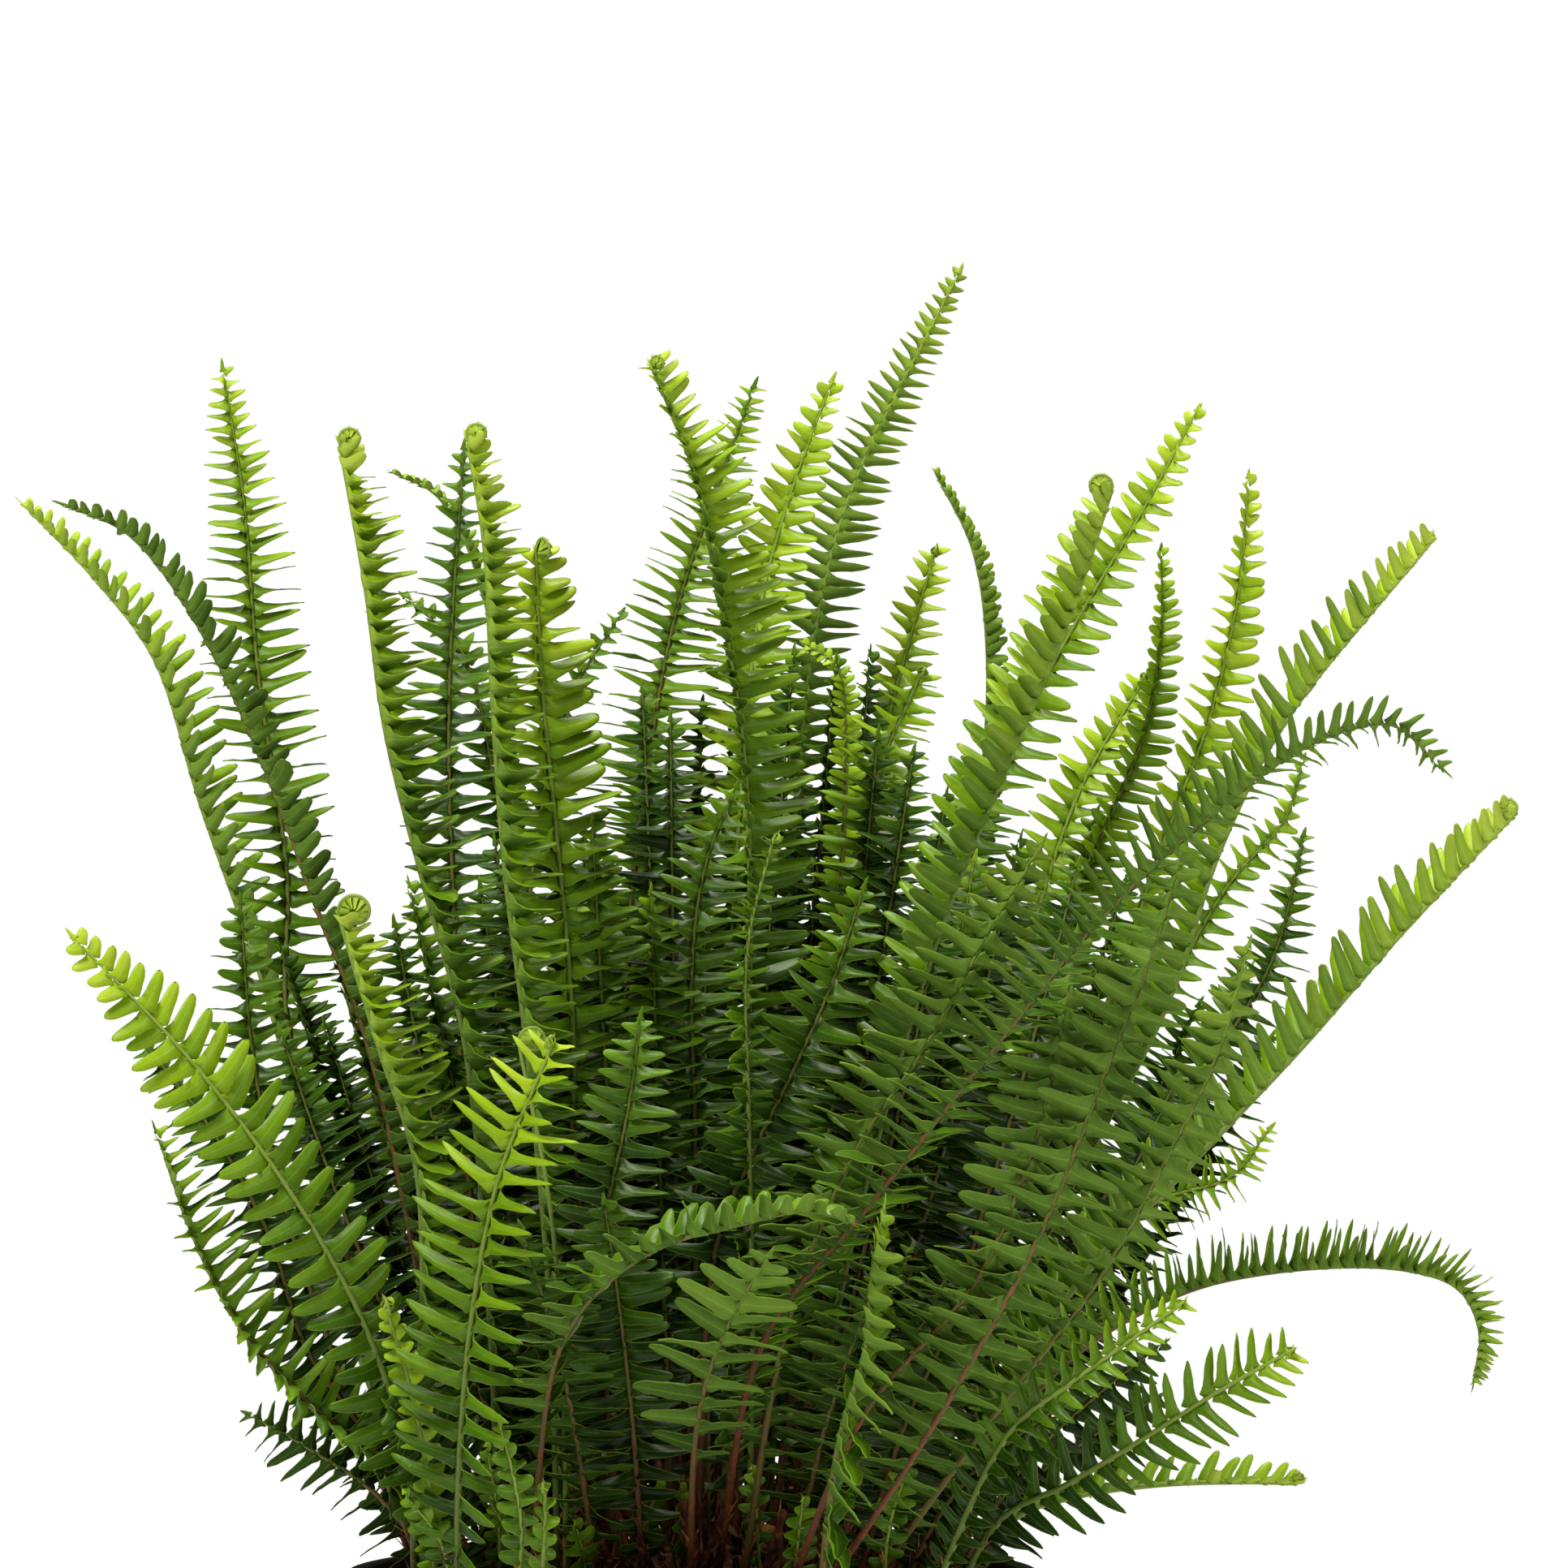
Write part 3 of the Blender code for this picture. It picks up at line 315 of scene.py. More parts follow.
STYLES = {
    "left_frond_01": Style("flat", 0.85, lean=0.10),
    "left_frond_02": Style(pitch=0.85),
    "left_frond_03": Style(pitch=0.85, shade=0.06),
    "left_frond_05": Style(pitch=0.80),
    "left_frond_11": Style("flat", 1.05, 1.1, 0.10),
    "left_frond_12": Style(pitch=0.75),
    "left_frond_13": Style("slender", pitch=0.85, shade=0.15),
    "centre_frond_01": Style(pitch=0.70, shade=0.26),
    "centre_frond_02": Style(pitch=0.75, shade=-0.05),
    "centre_frond_04": Style("pointed", pitch=0.78, shade=-0.12),
    "centre_frond_05": Style("flat", pitch=0.65, shade=0.35),
    "centre_frond_06": Style("pointed"),
    "centre_frond_07": Style("slender"),
    "centre_frond_09": Style("slender", 0.8, 0.8, shade=-0.35),
    "centre_frond_10": Style(bare=0.25),
    "centre_frond_12": Style("flat", 1.0, 1.2, bare=0.42, shade=0.05),
    "centre_frond_13": Style(bare=0.16),
    "centre_frond_14": Style("slender", 1.0, 1.05, 0.12),
    "centre_frond_15": Style(shade=-0.25),
    "centre_frond_16": Style(shade=-0.25),
    "centre_frond_17": Style(bare=0.25),
    "right_frond_01": Style("flat", pitch=0.70),
    "right_frond_02": Style("blunt", 0.95, lean=0.12),
    "right_frond_05": Style("flat", pitch=0.75, shade=0.3),
    "right_frond_07": Style("flat", 0.75, lean=0.22),
    "right_frond_08": Style("slender", 1.2, 0.75, 0.10, bare=0.14),
    "right_frond_09": Style(width=1.1, pitch=1.1, lean=-0.15, bare=0.20),
    "right_frond_10": Style(width=1.1, pitch=1.1, lean=-0.15, bare=0.16),
    "right_frond_11": Style(width=1.1, pitch=1.1, lean=-0.15, bare=0.24),
    "right_frond_12": Style(width=1.1, pitch=1.1, lean=-0.15, bare=0.14),
    "right_frond_13": Style("flat", 0.78, lean=0.30),
    "right_frond_14": Style(pitch=0.80),
    "right_frond_16": Style("slender", 1.2, 0.65, shade=0.05),
    "right_frond_17": Style("slender", 1.3, 0.60, 0.10, shade=0.25),
    "right_frond_18": Style("slender", lean=0.40, shade=-0.15),
    "right_frond_19": Style("slender", 1.1, lean=0.40, shade=-0.15),
    "right_frond_20": Style("flat", 0.90, lean=0.20),
    "right_frond_21": Style(bare=0.16),
}
# The crowd's styles, by group. The inner and low groups' negative shade is painted shade: it
# darkens the leaflets inside the plant and low down, where shade falls.
CROWD_STYLES = {
    "inner": Style(pitch=0.85, bare=0.20, shade=-0.14),
    "low": Style(pitch=0.85, bare=0.16, shade=-0.16),
    "rear": Style(pitch=0.90),
    "small": Style("blunt", 1.1, 0.85, bare=0.3, shade=-0.28),
}


# ---------------------------------------------------------------- materials


def linear(hex_colour):
    """sRGB hex to a linear colour with alpha 1."""
    parts = [int(hex_colour[i:i + 2], 16) / 255 for i in (1, 3, 5)]
    return (*[p / 12.92 if p <= 0.04045 else ((p + 0.055) / 1.055) ** 2.4 for p in parts], 1)


def node(tree, kind, settings=None, links=None):
    """Adds a node. settings are attributes, or inputs by name or number. links go into its inputs,
    each from a socket or from another node's first output."""
    made = tree.nodes.new(kind)
    for key, value in (settings or {}).items():
        if isinstance(key, str) and hasattr(made, key):
            setattr(made, key, value)
        else:
            made.inputs[key].default_value = value
    for key, source in (links or {}).items():
        socket = source.outputs[0] if isinstance(source, bpy.types.Node) else source
        tree.links.new(socket, made.inputs[key])
    return made


def ramp(tree, factor, stops):
    """A colour ramp through (position, hex) stops."""
    made = node(tree, "ShaderNodeValToRGB", links={"Fac": factor})
    while len(made.color_ramp.elements) < len(stops):
        made.color_ramp.elements.new(0.5)
    for element, (position, colour) in zip(made.color_ramp.elements, stops):
        element.position = position
        element.color = linear(colour)
    return made


def new_material(name, settings):
    """A Principled material with its shader's settings: (material, node tree)."""
    made = bpy.data.materials.new(name)
    made.use_nodes = True
    shader = made.node_tree.nodes["Principled BSDF"]
    for key, value in settings.items():
        shader.inputs[key].default_value = value
    return made, made.node_tree


def coat(tree, colour, relief=None):
    """Gives a material's shader its colour and, where it has one, its relief."""
    shader = tree.nodes["Principled BSDF"]
    tree.links.new(colour, shader.inputs["Base Color"])
    if relief:
        tree.links.new(relief.outputs["Normal"], shader.inputs["Normal"])


def leaf_material(name, stops, roughness, shine, rib_stops, rib_height, edge_colour):
    """Leaf tissue seen from one side. The leaflet's own UV runs from its foot to its tip and across
    it, so the midrib, veins and margin follow each leaflet."""
    made, tree = new_material(
        name, {"Roughness": roughness, "IOR": 1.45, "Specular IOR Level": shine})
    fresh = node(tree, "ShaderNodeAttribute", {"attribute_name": "fresh"}).outputs["Fac"]
    uv = node(tree, "ShaderNodeUVMap", {"uv_map": "UVMap"})
    split = node(tree, "ShaderNodeSeparateXYZ", links={"Vector": uv})
    along, across = split.outputs["X"], split.outputs["Y"]
    half = node(tree, "ShaderNodeMath", {"operation": "SUBTRACT", 1: 0.5}, {0: across})
    away = node(tree, "ShaderNodeMath", {"operation": "ABSOLUTE"}, {0: half})

    place = node(tree, "ShaderNodeTexCoord").outputs["Object"]
    # Mottling of the tissue, patches about 4 mm across.
    patches = node(
        tree, "ShaderNodeTexNoise", {"Scale": 0.26 / MM, "Detail": 3, "Roughness": 0.6},
        {"Vector": place})
    drift = node(tree, "ShaderNodeMath", {"operation": "MULTIPLY_ADD", 1: 0.16, 2: -0.08}, {0: patches})
    newer = node(tree, "ShaderNodeMath", {"operation": "ADD", "use_clamp": True}, {0: fresh, 1: drift})
    # A leaflet is younger the further out on it.
    outward = node(tree, "ShaderNodeMath", {"operation": "MULTIPLY_ADD", 1: 0.10}, {0: along, 2: newer})

    # Side veins run forward from the midrib, 1.6 mm apart on a leaflet 18 mm long, a little lighter.
    slant = node(tree, "ShaderNodeMath", {"operation": "MULTIPLY_ADD", 1: -0.35}, {0: away, 2: along})
    wave = node(tree, "ShaderNodeMath", {"operation": "MULTIPLY", 1: 11 * math.tau}, {0: slant})
    veins = node(tree, "ShaderNodeMath", {"operation": "SINE"}, {0: wave})
    # Midrib: a line along the middle, about 0.5 mm wide.
    rib = node(
        tree, "ShaderNodeMapRange",
        {"From Min": 0.02, "From Max": 0.055, "To Min": 0.7, "To Max": 0}, {"Value": away})
    drawn = node(
        tree, "ShaderNodeMath", {"operation": "MULTIPLY_ADD", 1: 0.10, "use_clamp": True},
        {0: veins, 2: rib})
    ribbed = node(
        tree, "ShaderNodeMix", {"data_type": "RGBA"},
        {0: drawn, 6: ramp(tree, outward, stops), 7: ramp(tree, outward, rib_stops)})
    # Margin: a thin line of thicker, lighter tissue.
    margin = node(
        tree, "ShaderNodeMapRange",
        {"From Min": 0.44, "From Max": 0.49, "To Min": 0, "To Max": 0.45}, {"Value": away})
    edged = node(
        tree, "ShaderNodeMix", {"data_type": "RGBA", 7: linear(edge_colour)},
        {0: margin, 6: ribbed.outputs[2]})
    bump = node(tree, "ShaderNodeBump", {"Strength": 0.5, "Distance": rib_height}, {"Height": rib})
    coat(tree, edged.outputs[2], bump)
    return made


def stalk_material():
    """Living stalk: smooth green when young, with red-brown bark-like skin and scales when old."""
    made, tree = new_material("fern_stalk_skin", {"Roughness": 0.6})
    fresh = node(tree, "ShaderNodeAttribute", {"attribute_name": "fresh"}).outputs["Fac"]
    rust = node(tree, "ShaderNodeAttribute", {"attribute_name": "rust"}).outputs["Fac"]
    place = node(tree, "ShaderNodeTexCoord").outputs["Object"]
    # Patches of scale about 2 mm long.
    flecks = node(
        tree, "ShaderNodeTexNoise", {"Scale": 0.42 / MM, "Detail": 4, "Roughness": 0.7},
        {"Vector": place})
    living = ramp(tree, fresh, [(0.1, "#3F5216"), (0.5, "#5E7624"), (1.0, "#93AB3C")])
    bark = ramp(tree, flecks, [(0.3, "#331208"), (0.55, "#6B2E14"), (0.75, "#8F5028")])
    edge = node(tree, "ShaderNodeMath", {"operation": "MULTIPLY_ADD", 1: 1.5, 2: -1.25}, {0: flecks})
    cover = node(
        tree, "ShaderNodeMath", {"operation": "MULTIPLY_ADD", 1: 1.5, "use_clamp": True},
        {0: rust, 2: edge})
    mixed = node(tree, "ShaderNodeMix", {"data_type": "RGBA"}, {0: cover, 6: living, 7: bark})
    bump = node(tree, "ShaderNodeBump", {"Strength": 0.6, "Distance": 0.4 * MM}, {"Height": flecks})
    coat(tree, mixed.outputs[2], bump)
    return made


def rough_material(name, size, stops, roughness, relief):
    """A dull natural material: patches of a given size, coloured by a ramp, with relief."""
    made, tree = new_material(name, {"Roughness": roughness, "Specular IOR Level": 0.3})
    place = node(tree, "ShaderNodeTexCoord").outputs["Object"]
    patches = node(
        tree, "ShaderNodeTexNoise", {"Scale": 1 / size, "Detail": 5, "Roughness": 0.65},
        {"Vector": place})
    bump = node(tree, "ShaderNodeBump", {"Strength": 0.7, "Distance": relief}, {"Height": patches})
    coat(tree, ramp(tree, patches, stops).outputs["Color"], bump)
    return made


def withered_material():
    """Dead leaf tissue, from straw yellow when just fallen to brown."""
    made, tree = new_material("withered_leaf_tissue", {"Roughness": 0.75})
    age = node(tree, "ShaderNodeAttribute", {"attribute_name": "fresh"}).outputs["Fac"]
    place = node(tree, "ShaderNodeTexCoord").outputs["Object"]
    # Spots of decay about 2 mm across.
    spots = node(tree, "ShaderNodeTexNoise", {"Scale": 0.5 / MM, "Detail": 3}, {"Vector": place})
    mixed = node(tree, "ShaderNodeMath", {"operation": "MULTIPLY_ADD", 1: 0.5, 2: -0.25}, {0: spots})
    where = node(tree, "ShaderNodeMath", {"operation": "ADD", "use_clamp": True}, {0: age, 1: mixed})
    colour = ramp(tree, where, [(0.1, "#3A2110"), (0.45, "#6E4521"), (0.75, "#A5762B"), (1.0, "#B7A03A")])
    coat(tree, colour.outputs["Color"])
    return made


def plastic_material():
    """Black injection-moulded polypropylene: a faint pebbled sheen, with dry soil dust near its rim
    and foot."""
    made, tree = new_material("black_polypropylene", {"Specular IOR Level": 0.32})
    place = node(tree, "ShaderNodeTexCoord").outputs["Object"]
    # Smears about 22 mm across.
    smears = node(
        tree, "ShaderNodeTexNoise", {"Scale": 0.045 / MM, "Detail": 5, "Roughness": 0.7},
        {"Vector": place})
    height = node(tree, "ShaderNodeSeparateXYZ", links={"Vector": place}).outputs["Z"]
    low = node(
        tree, "ShaderNodeMapRange",
        {"From Min": 0, "From Max": 0.03, "To Min": 0.6, "To Max": 0}, {"Value": height})
    high = node(
        tree, "ShaderNodeMapRange",
        {"From Min": 0.165, "From Max": POT_HEIGHT, "To Min": 0, "To Max": 0.4}, {"Value": height})
    ends = node(tree, "ShaderNodeMath", {"operation": "MAXIMUM"}, {0: low, 1: high})
    dusty = node(tree, "ShaderNodeMath", {"operation": "MULTIPLY"}, {0: ends, 1: smears})
    colour = node(
        tree, "ShaderNodeMix", {"data_type": "RGBA", 6: linear("#08080A"), 7: linear("#4A4036")},
        {0: dusty})
    worn = node(
        tree, "ShaderNodeMapRange",
        {"From Min": 0.3, "From Max": 0.7, "To Min": 0.36, "To Max": 0.58}, {"Value": smears})
    tree.links.new(worn.outputs["Result"], tree.nodes["Principled BSDF"].inputs["Roughness"])
    # Pebbled skin, about 1 mm across, drawn coarser than it is.
    pebbles = node(tree, "ShaderNodeTexNoise", {"Scale": 0.9 / MM, "Detail": 2}, {"Vector": place})
    bump = node(tree, "ShaderNodeBump", {"Strength": 0.25, "Distance": 0.1 * MM}, {"Height": pebbles})
    coat(tree, colour.outputs[2], bump)
    return made


# The leaflets' upper side: a waxy cuticle with a soft shine, and the midrib as a groove. Its
# lowest stop, nearly black, is painted shade for the fronds deep inside the plant.
LEAF_UPPER = leaf_material(
    "leaf_cuticle_upper",
    [(0.0, "#0B1702"), (0.25, "#234106"), (0.45, "#4A6E08"),
     (0.65, "#6C900C"), (0.85, "#93B310"), (1.0, "#ABC22A")],
    0.38, 0.24, [(0.0, "#30520F"), (0.5, "#5F8D1C"), (1.0, "#B2CC52")], -0.06 * MM, "#86A82C")
# Their underside: dull, paler and greyer, with the midrib standing out. Its lowest stop, nearly
# black, is painted shade for the fronds deep inside the plant.
LEAF_UNDER = leaf_material(
    "leaf_tissue_underside",
    [(0.0, "#13210A"), (0.25, "#37521B"), (0.45, "#57762B"),
     (0.65, "#6C8B33"), (0.85, "#90AB38"), (1.0, "#A8BC44")],
    0.66, 0.07, [(0.0, "#46621F"), (0.5, "#6E8F30"), (1.0, "#A9C254")], 0.07 * MM, "#86A23C")
STALK = stalk_material()
LEAF_SLOTS = [LEAF_UPPER, LEAF_UNDER, STALK]
# Damp peat: nearly black, crumbly and without a shine.
PEAT = rough_material(
    "moist_peat", 4 * MM, [(0.30, "#0B0503"), (0.5, "#1B0E07"), (0.7, "#35200F")], 0.95, 0.8 * MM)
# Pine bark: red-brown, coarse, lighter than the peat around it.
BARK = rough_material(
    "pine_bark", 3 * MM, [(0.30, "#24130B"), (0.5, "#4A2B1A"), (0.7, "#6E4A30")], 0.85, 0.5 * MM)
# Old frond bases and rhizome: dark red-brown, fibrous.
OLD_BASE = rough_material(
    "rhizome_skin", 3 * MM, [(0.30, "#1C0B05"), (0.5, "#43200F"), (0.72, "#7A4626")], 0.8, 0.5 * MM)
# The papery scales of the stalks: tan, thin and a little smoother.
SCALE = rough_material(
    "papery_scale", 3 * MM, [(0.30, "#4A2812"), (0.5, "#82522A"), (0.72, "#B78B56")], 0.6, 0.2 * MM)
# The pale down of young stalks.
HAIR = rough_material(
    "pale_down", 2 * MM, [(0.35, "#9EA97A"), (0.65, "#C9CBA6")], 0.7, 0.05 * MM)
WITHERED = withered_material()


# ---------------------------------------------------------------- hands


def deselect_all():
    if bpy.context.mode != "OBJECT":
        bpy.ops.object.mode_set(mode="OBJECT")
    bpy.ops.object.select_all(action="DESELECT")


def activate(obj):
    deselect_all()
    obj.select_set(True)
    bpy.context.view_layer.objects.active = obj


def apply_modifiers(obj):
    activate(obj)
    for modifier in list(obj.modifiers):
        bpy.ops.object.modifier_apply(modifier=modifier.name)


def join(objects, name):
    """Joins objects into one, with its place in its mesh."""
    deselect_all()
    for obj in objects:
        obj.select_set(True)
    bpy.context.view_layer.objects.active = objects[0]
    if len(objects) > 1:
        bpy.ops.object.join()
    joined = bpy.context.view_layer.objects.active
    bpy.ops.object.transform_apply(location=True, rotation=True, scale=True)
    joined.name = name
    joined.data.name = name
    return joined


# ---------------------------------------------------------------- leaflets

# A leaflet from its foot to its tip: (along, half width towards the frond's tip, half width
# towards its foot, rise). Along and rise are shares of its length, widths of its full width.
POINTED = [
    (0.00, 0.38, -0.28, 0.00), (0.05, 0.57, -0.42, 0.01), (0.13, 0.42, -0.40, 0.02),
    (0.25, 0.28, -0.31, 0.01), (0.42, 0.24, -0.25, 0.00), (0.60, 0.23, -0.20, -0.01),
    (0.78, 0.20, -0.12, -0.03), (0.92, 0.15, -0.02, -0.06), (1.00, 0.10, 0.05, -0.09),
]
BLUNT = [
    (0.00, 0.38, -0.28, 0.00), (0.05, 0.57, -0.43, 0.01), (0.14, 0.44, -0.43, 0.02),
    (0.27, 0.32, -0.38, 0.02), (0.45, 0.29, -0.33, 0.01), (0.65, 0.28, -0.28, 0.00),
    (0.83, 0.26, -0.20, -0.02), (0.95, 0.20, -0.09, -0.04), (1.00, 0.11, 0.01, -0.06),
]
SLENDER = [
    (0.00, 0.36, -0.26, 0.00), (0.05, 0.54, -0.40, 0.01), (0.12, 0.34, -0.34, 0.02),
    (0.24, 0.20, -0.24, 0.01), (0.42, 0.17, -0.20, 0.00), (0.60, 0.17, -0.17, -0.01),
    (0.78, 0.16, -0.12, -0.03), (0.92, 0.12, -0.03, -0.06), (1.00, 0.07, 0.02, -0.09),
]
TURNED = [
    (0.00, 0.38, -0.30, 0.00), (0.05, 0.56, -0.42, 0.01), (0.13, 0.45, -0.43, 0.02),
    (0.25, 0.26, -0.42, 0.01), (0.42, 0.14, -0.36, 0.00), (0.60, 0.08, -0.32, -0.01),
    (0.78, 0.06, -0.28, -0.03), (0.92, 0.02, -0.22, -0.06), (1.00, -0.04, -0.16, -0.09),
]
OUTLINES = {"pointed": POINTED, "blunt": BLUNT, "flat": BLUNT, "slender": SLENDER, "twisted": TURNED}
# How each variant of a leaflet hangs, turns about its own line and waves: (droop, twist, ruffle).
HANGS = {
    "pointed": [(0.05, 18, 0.012), (0.14, 34, 0.02), (-0.04, 8, 0.01), (0.22, 44, 0.016)],
    "blunt": [(0.05, 12, 0.014), (0.12, 26, 0.02), (-0.04, 6, 0.012), (0.2, 34, 0.016)],
    "flat": [(0.04, 3, 0.014), (0.10, 8, 0.02), (-0.04, -4, 0.012), (0.15, 12, 0.016)],
    "slender": [(0.05, 22, 0.012), (0.13, 36, 0.018), (-0.04, 14, 0.01), (0.2, 44, 0.014)],
    "twisted": [(0.10, 62, 0.012), (0.22, 74, 0.016), (0.02, 52, 0.014), (0.30, 68, 0.012)],
}
# Shares of a leaflet's length: how thick it is, how deep its midrib lies, and where its turn begins
# and ends.
THICKNESS = 0.020
CUPPING = -0.055
TURN_BEGINS = 0.08
TURN_ENDS = 0.50


def model_leaflet(name, outline, droop, twist, ruffle):
    """One leaflet, 1 long and 1 wide, with the frond's tip at -Y: a strip whose columns are spread,
    shifted, raised and turned, then given its thickness. Its upper face has material 0 and its
    underside material 1."""
    deselect_all()
    bpy.ops.mesh.primitive_grid_add(x_subdivisions=len(outline) - 1, y_subdivisions=2, size=1)
    leaf = bpy.context.active_object
    bpy.ops.object.mode_set(mode="EDIT")
    mesh = bmesh.from_edit_mesh(leaf.data)
    mesh.verts.ensure_lookup_table()
    places = sorted({round(v.co.x, 4) for v in mesh.verts})
    columns = [[v.index for v in mesh.verts if abs(v.co.x - x) < 1e-3] for x in places]
    for number, (x, column, (along, ahead, behind, rise)) in enumerate(zip(places, columns, outline)):
        bpy.ops.mesh.select_all(action="DESELECT")
        mesh = bmesh.from_edit_mesh(leaf.data)
        mesh.verts.ensure_lookup_table()
        for index in column:
            mesh.verts[index].select_set(True)
        mesh.select_flush_mode()
        bpy.ops.transform.resize(value=(1, ahead - behind, 1), center_override=(x, 0, 0))
        middle = -(ahead + behind) / 2
        bpy.ops.transform.translate(value=(along - x, middle, rise - droop * along**2))
        # The foot stays flat, and the turn is over before the leaflet's outer half.
        turned = min(1, max(0, along - TURN_BEGINS) / (TURN_ENDS - TURN_BEGINS))
        if turned:
            bpy.ops.transform.rotate(
                value=-math.radians(twist) * turned, orient_axis="X", orient_type="GLOBAL",
                center_override=(along, middle, rise - droop * along**2))
        # The midrib stays near the leaflet's own line and lies lower than the edges.
        bpy.ops.mesh.select_all(action="DESELECT")
        mesh = bmesh.from_edit_mesh(leaf.data)
        mesh.verts.ensure_lookup_table()
        central = min(column, key=lambda i: abs(mesh.verts[i].co.y - middle))
        mesh.verts[central].select_set(True)
        mesh.select_flush_mode()
        bpy.ops.transform.translate(value=(0, -0.6 * middle * (1 - along), CUPPING * (1 - 0.7 * along)))
        # The edges are waved.
        side = ruffle * (1 if number % 2 else -1) * (1 - 0.5 * along)
        for index in column:
            if index != central:
                mesh.verts[index].co.z += side * (1 if mesh.verts[index].co.y > middle else -1)
    bpy.ops.object.mode_set(mode="OBJECT")
    leaf.name = name
    for slot in LEAF_SLOTS:
        leaf.data.materials.append(slot)
    shell = leaf.modifiers.new("Tissue", "SOLIDIFY")
    shell.thickness = THICKNESS
    shell.offset = 0
    shell.material_offset = 1
    shell.material_offset_rim = 0
    apply_modifiers(leaf)
    bpy.ops.object.shade_smooth()
    for attribute in ("fresh", "rust"):
        leaf.data.attributes.new(attribute, "FLOAT", "POINT")
    return leaf


def mirrored(leaf):
    """The leaflet of the other row: turned over across its midrib, still facing up."""
    other = leaf.copy()
    other.data = leaf.data.copy()
    bpy.context.scene.collection.objects.link(other)
    other.name = leaf.name + "_mirrored"
    other.data.transform(Matrix.Scale(-1, 4, (0, 1, 0)))
    other.data.flip_normals()
    return other


def model_leaflets():
    """The leaflets that all others are copied from, as {(shape, hand): [variants]}."""
    kept = {}
    for shape, hangs in HANGS.items():
        outline = OUTLINES[shape]
        variants = [
            model_leaflet(f"{shape}_leaflet_{number}", outline, *hang) for number, hang in enumerate(hangs)]
        kept[shape, 1] = variants
        kept[shape, -1] = [mirrored(leaf) for leaf in variants]
    return kept


# ---------------------------------------------------------------- frond lines


def ground(x, y):
    """Height of the soil or the crown at a place."""
    away = math.hypot(x - CROWN_CENTRE[0], y - CROWN_CENTRE[1]) / CROWN_RADIUS
    return SOIL_TOP + CROWN_HEIGHT * max(0, 1 - away**2)


def elevation_point(x, depth, height):
    """A point of the front elevation, in cm, carried to its depth along the line of sight."""
    drawn = Vector((x * CM, 0, POT_HEIGHT + height * CM))
    return EYE + (drawn - EYE) * (depth * DEPTH_SPREAD * CM - EYE.y) / -EYE.y


def path_points(frond):
    """The given points of a frond's line, from below the ground to its tip."""
    (x, y), *rest = frond.path
    x, y = x * CM, y * CM
    return [Vector((x, y, ground(x, y) - BURIED))] + [elevation_point(*p) for p in rest]


def smooth(points):
    """Close points on a centripetal Catmull-Rom curve through the given ones."""
    ends = [2 * points[0] - points[1], *points, 2 * points[-1] - points[-2]]
    line = [points[0]]
    for a, b, c, d in zip(ends, ends[1:], ends[2:], ends[3:]):
        k1, k2, k3 = (math.sqrt((q - p).length) for p, q in ((a, b), (b, c), (c, d)))
        enter = ((b - a) / k1 - (c - a) / (k1 + k2) + (c - b) / k2) * k2
        leave = ((c - b) / k2 - (d - b) / (k2 + k3) + (d - c) / k3) * k2
        for n in range(1, SAMPLES_PER_SPAN + 1):
            t = n / SAMPLES_PER_SPAN
            line.append(
                b * (2 * t**3 - 3 * t**2 + 1)
                + enter * (t**3 - 2 * t**2 + t)
                + c * (3 * t**2 - 2 * t**3)
                + leave * (t**3 - t**2)
            )
    return line


def even(line, step):
    """Points along a line, all nearly one step apart."""
    along = [0.0]
    for p, q in zip(line, line[1:]):
        along.append(along[-1] + (q - p).length)
    count = max(4, round(along[-1] / step))
    made, k = [], 0
    for n in range(count + 1):
        want = along[-1] * n / count
        while k < len(along) - 2 and along[k + 1] < want:
            k += 1
        span = along[k + 1] - along[k]
        made.append(line[k].lerp(line[k + 1], (want - along[k]) / span if span else 0))
    return made


Station = namedtuple("Station", "point along side up")


def stations(points, up):
    """A frame at each point, whose up turns no more than it must from the given one."""
    made = []
    for n, point in enumerate(points):
        along = (points[min(n + 1, len(points) - 1)] - points[max(n - 1, 0)]).normalized()
        up = (up - up.dot(along) * along).normalized()
        made.append(Station(point, along, up.cross(along), up))
    return made


def coil(tip, radius):
    """Points of a tip that coils towards its upper side, drawn in to a third of its radius."""
    made = []
    for n in range(1, CURL_STEPS + 1):
        share = n / CURL_STEPS
        angle = math.tau * CURL_TURNS * share
        now = radius * (1 - CURL_DRAWN_IN * share)
        made.append(tip.point + tip.up * radius
                    + (tip.along * math.sin(angle) - tip.up * math.cos(angle)) * now)
    return made


def frond_line(frond):
    """Stations along a frond a step apart, and how many of them come before its coil."""
    turn = math.radians(frond.facing)
    up = Vector((math.cos(turn), math.sin(turn), FACING_LIFT))
    line = stations(even(smooth(path_points(frond)), STEP), up)
    plain = len(line)
    if frond.curl:
        curled = [line[-1].point] + coil(line[-1], frond.curl * CM)
        rolled = stations(even(curled, STEP), line[-1].up)
        line += rolled[1:]
    return line, plain


# ---------------------------------------------------------------- fronds


def rod(name, points, radii):
    """A round rod through points, closed at both ends."""
    curve = bpy.data.curves.new(name, "CURVE")
    curve.dimensions = "3D"
    curve.bevel_depth = 1
    curve.bevel_resolution = 1
    curve.use_fill_caps = True
    spline = curve.splines.new("POLY")
    spline.points.add(len(points) - 1)
    for spot, point, radius in zip(spline.points, points, radii):
        spot.co = (*point, 1)
        spot.radius = radius
    obj = bpy.data.objects.new(name, curve)
    bpy.context.scene.collection.objects.link(obj)
    activate(obj)
    bpy.ops.object.convert(target="MESH")
    obj = bpy.context.active_object
    bpy.ops.object.shade_smooth()
    obj.data.materials.clear()
    if not obj.data.uv_layers:
        obj.data.uv_layers.new(name="UVMap")
    obj.data.uv_layers[0].name = "UVMap"
    return obj


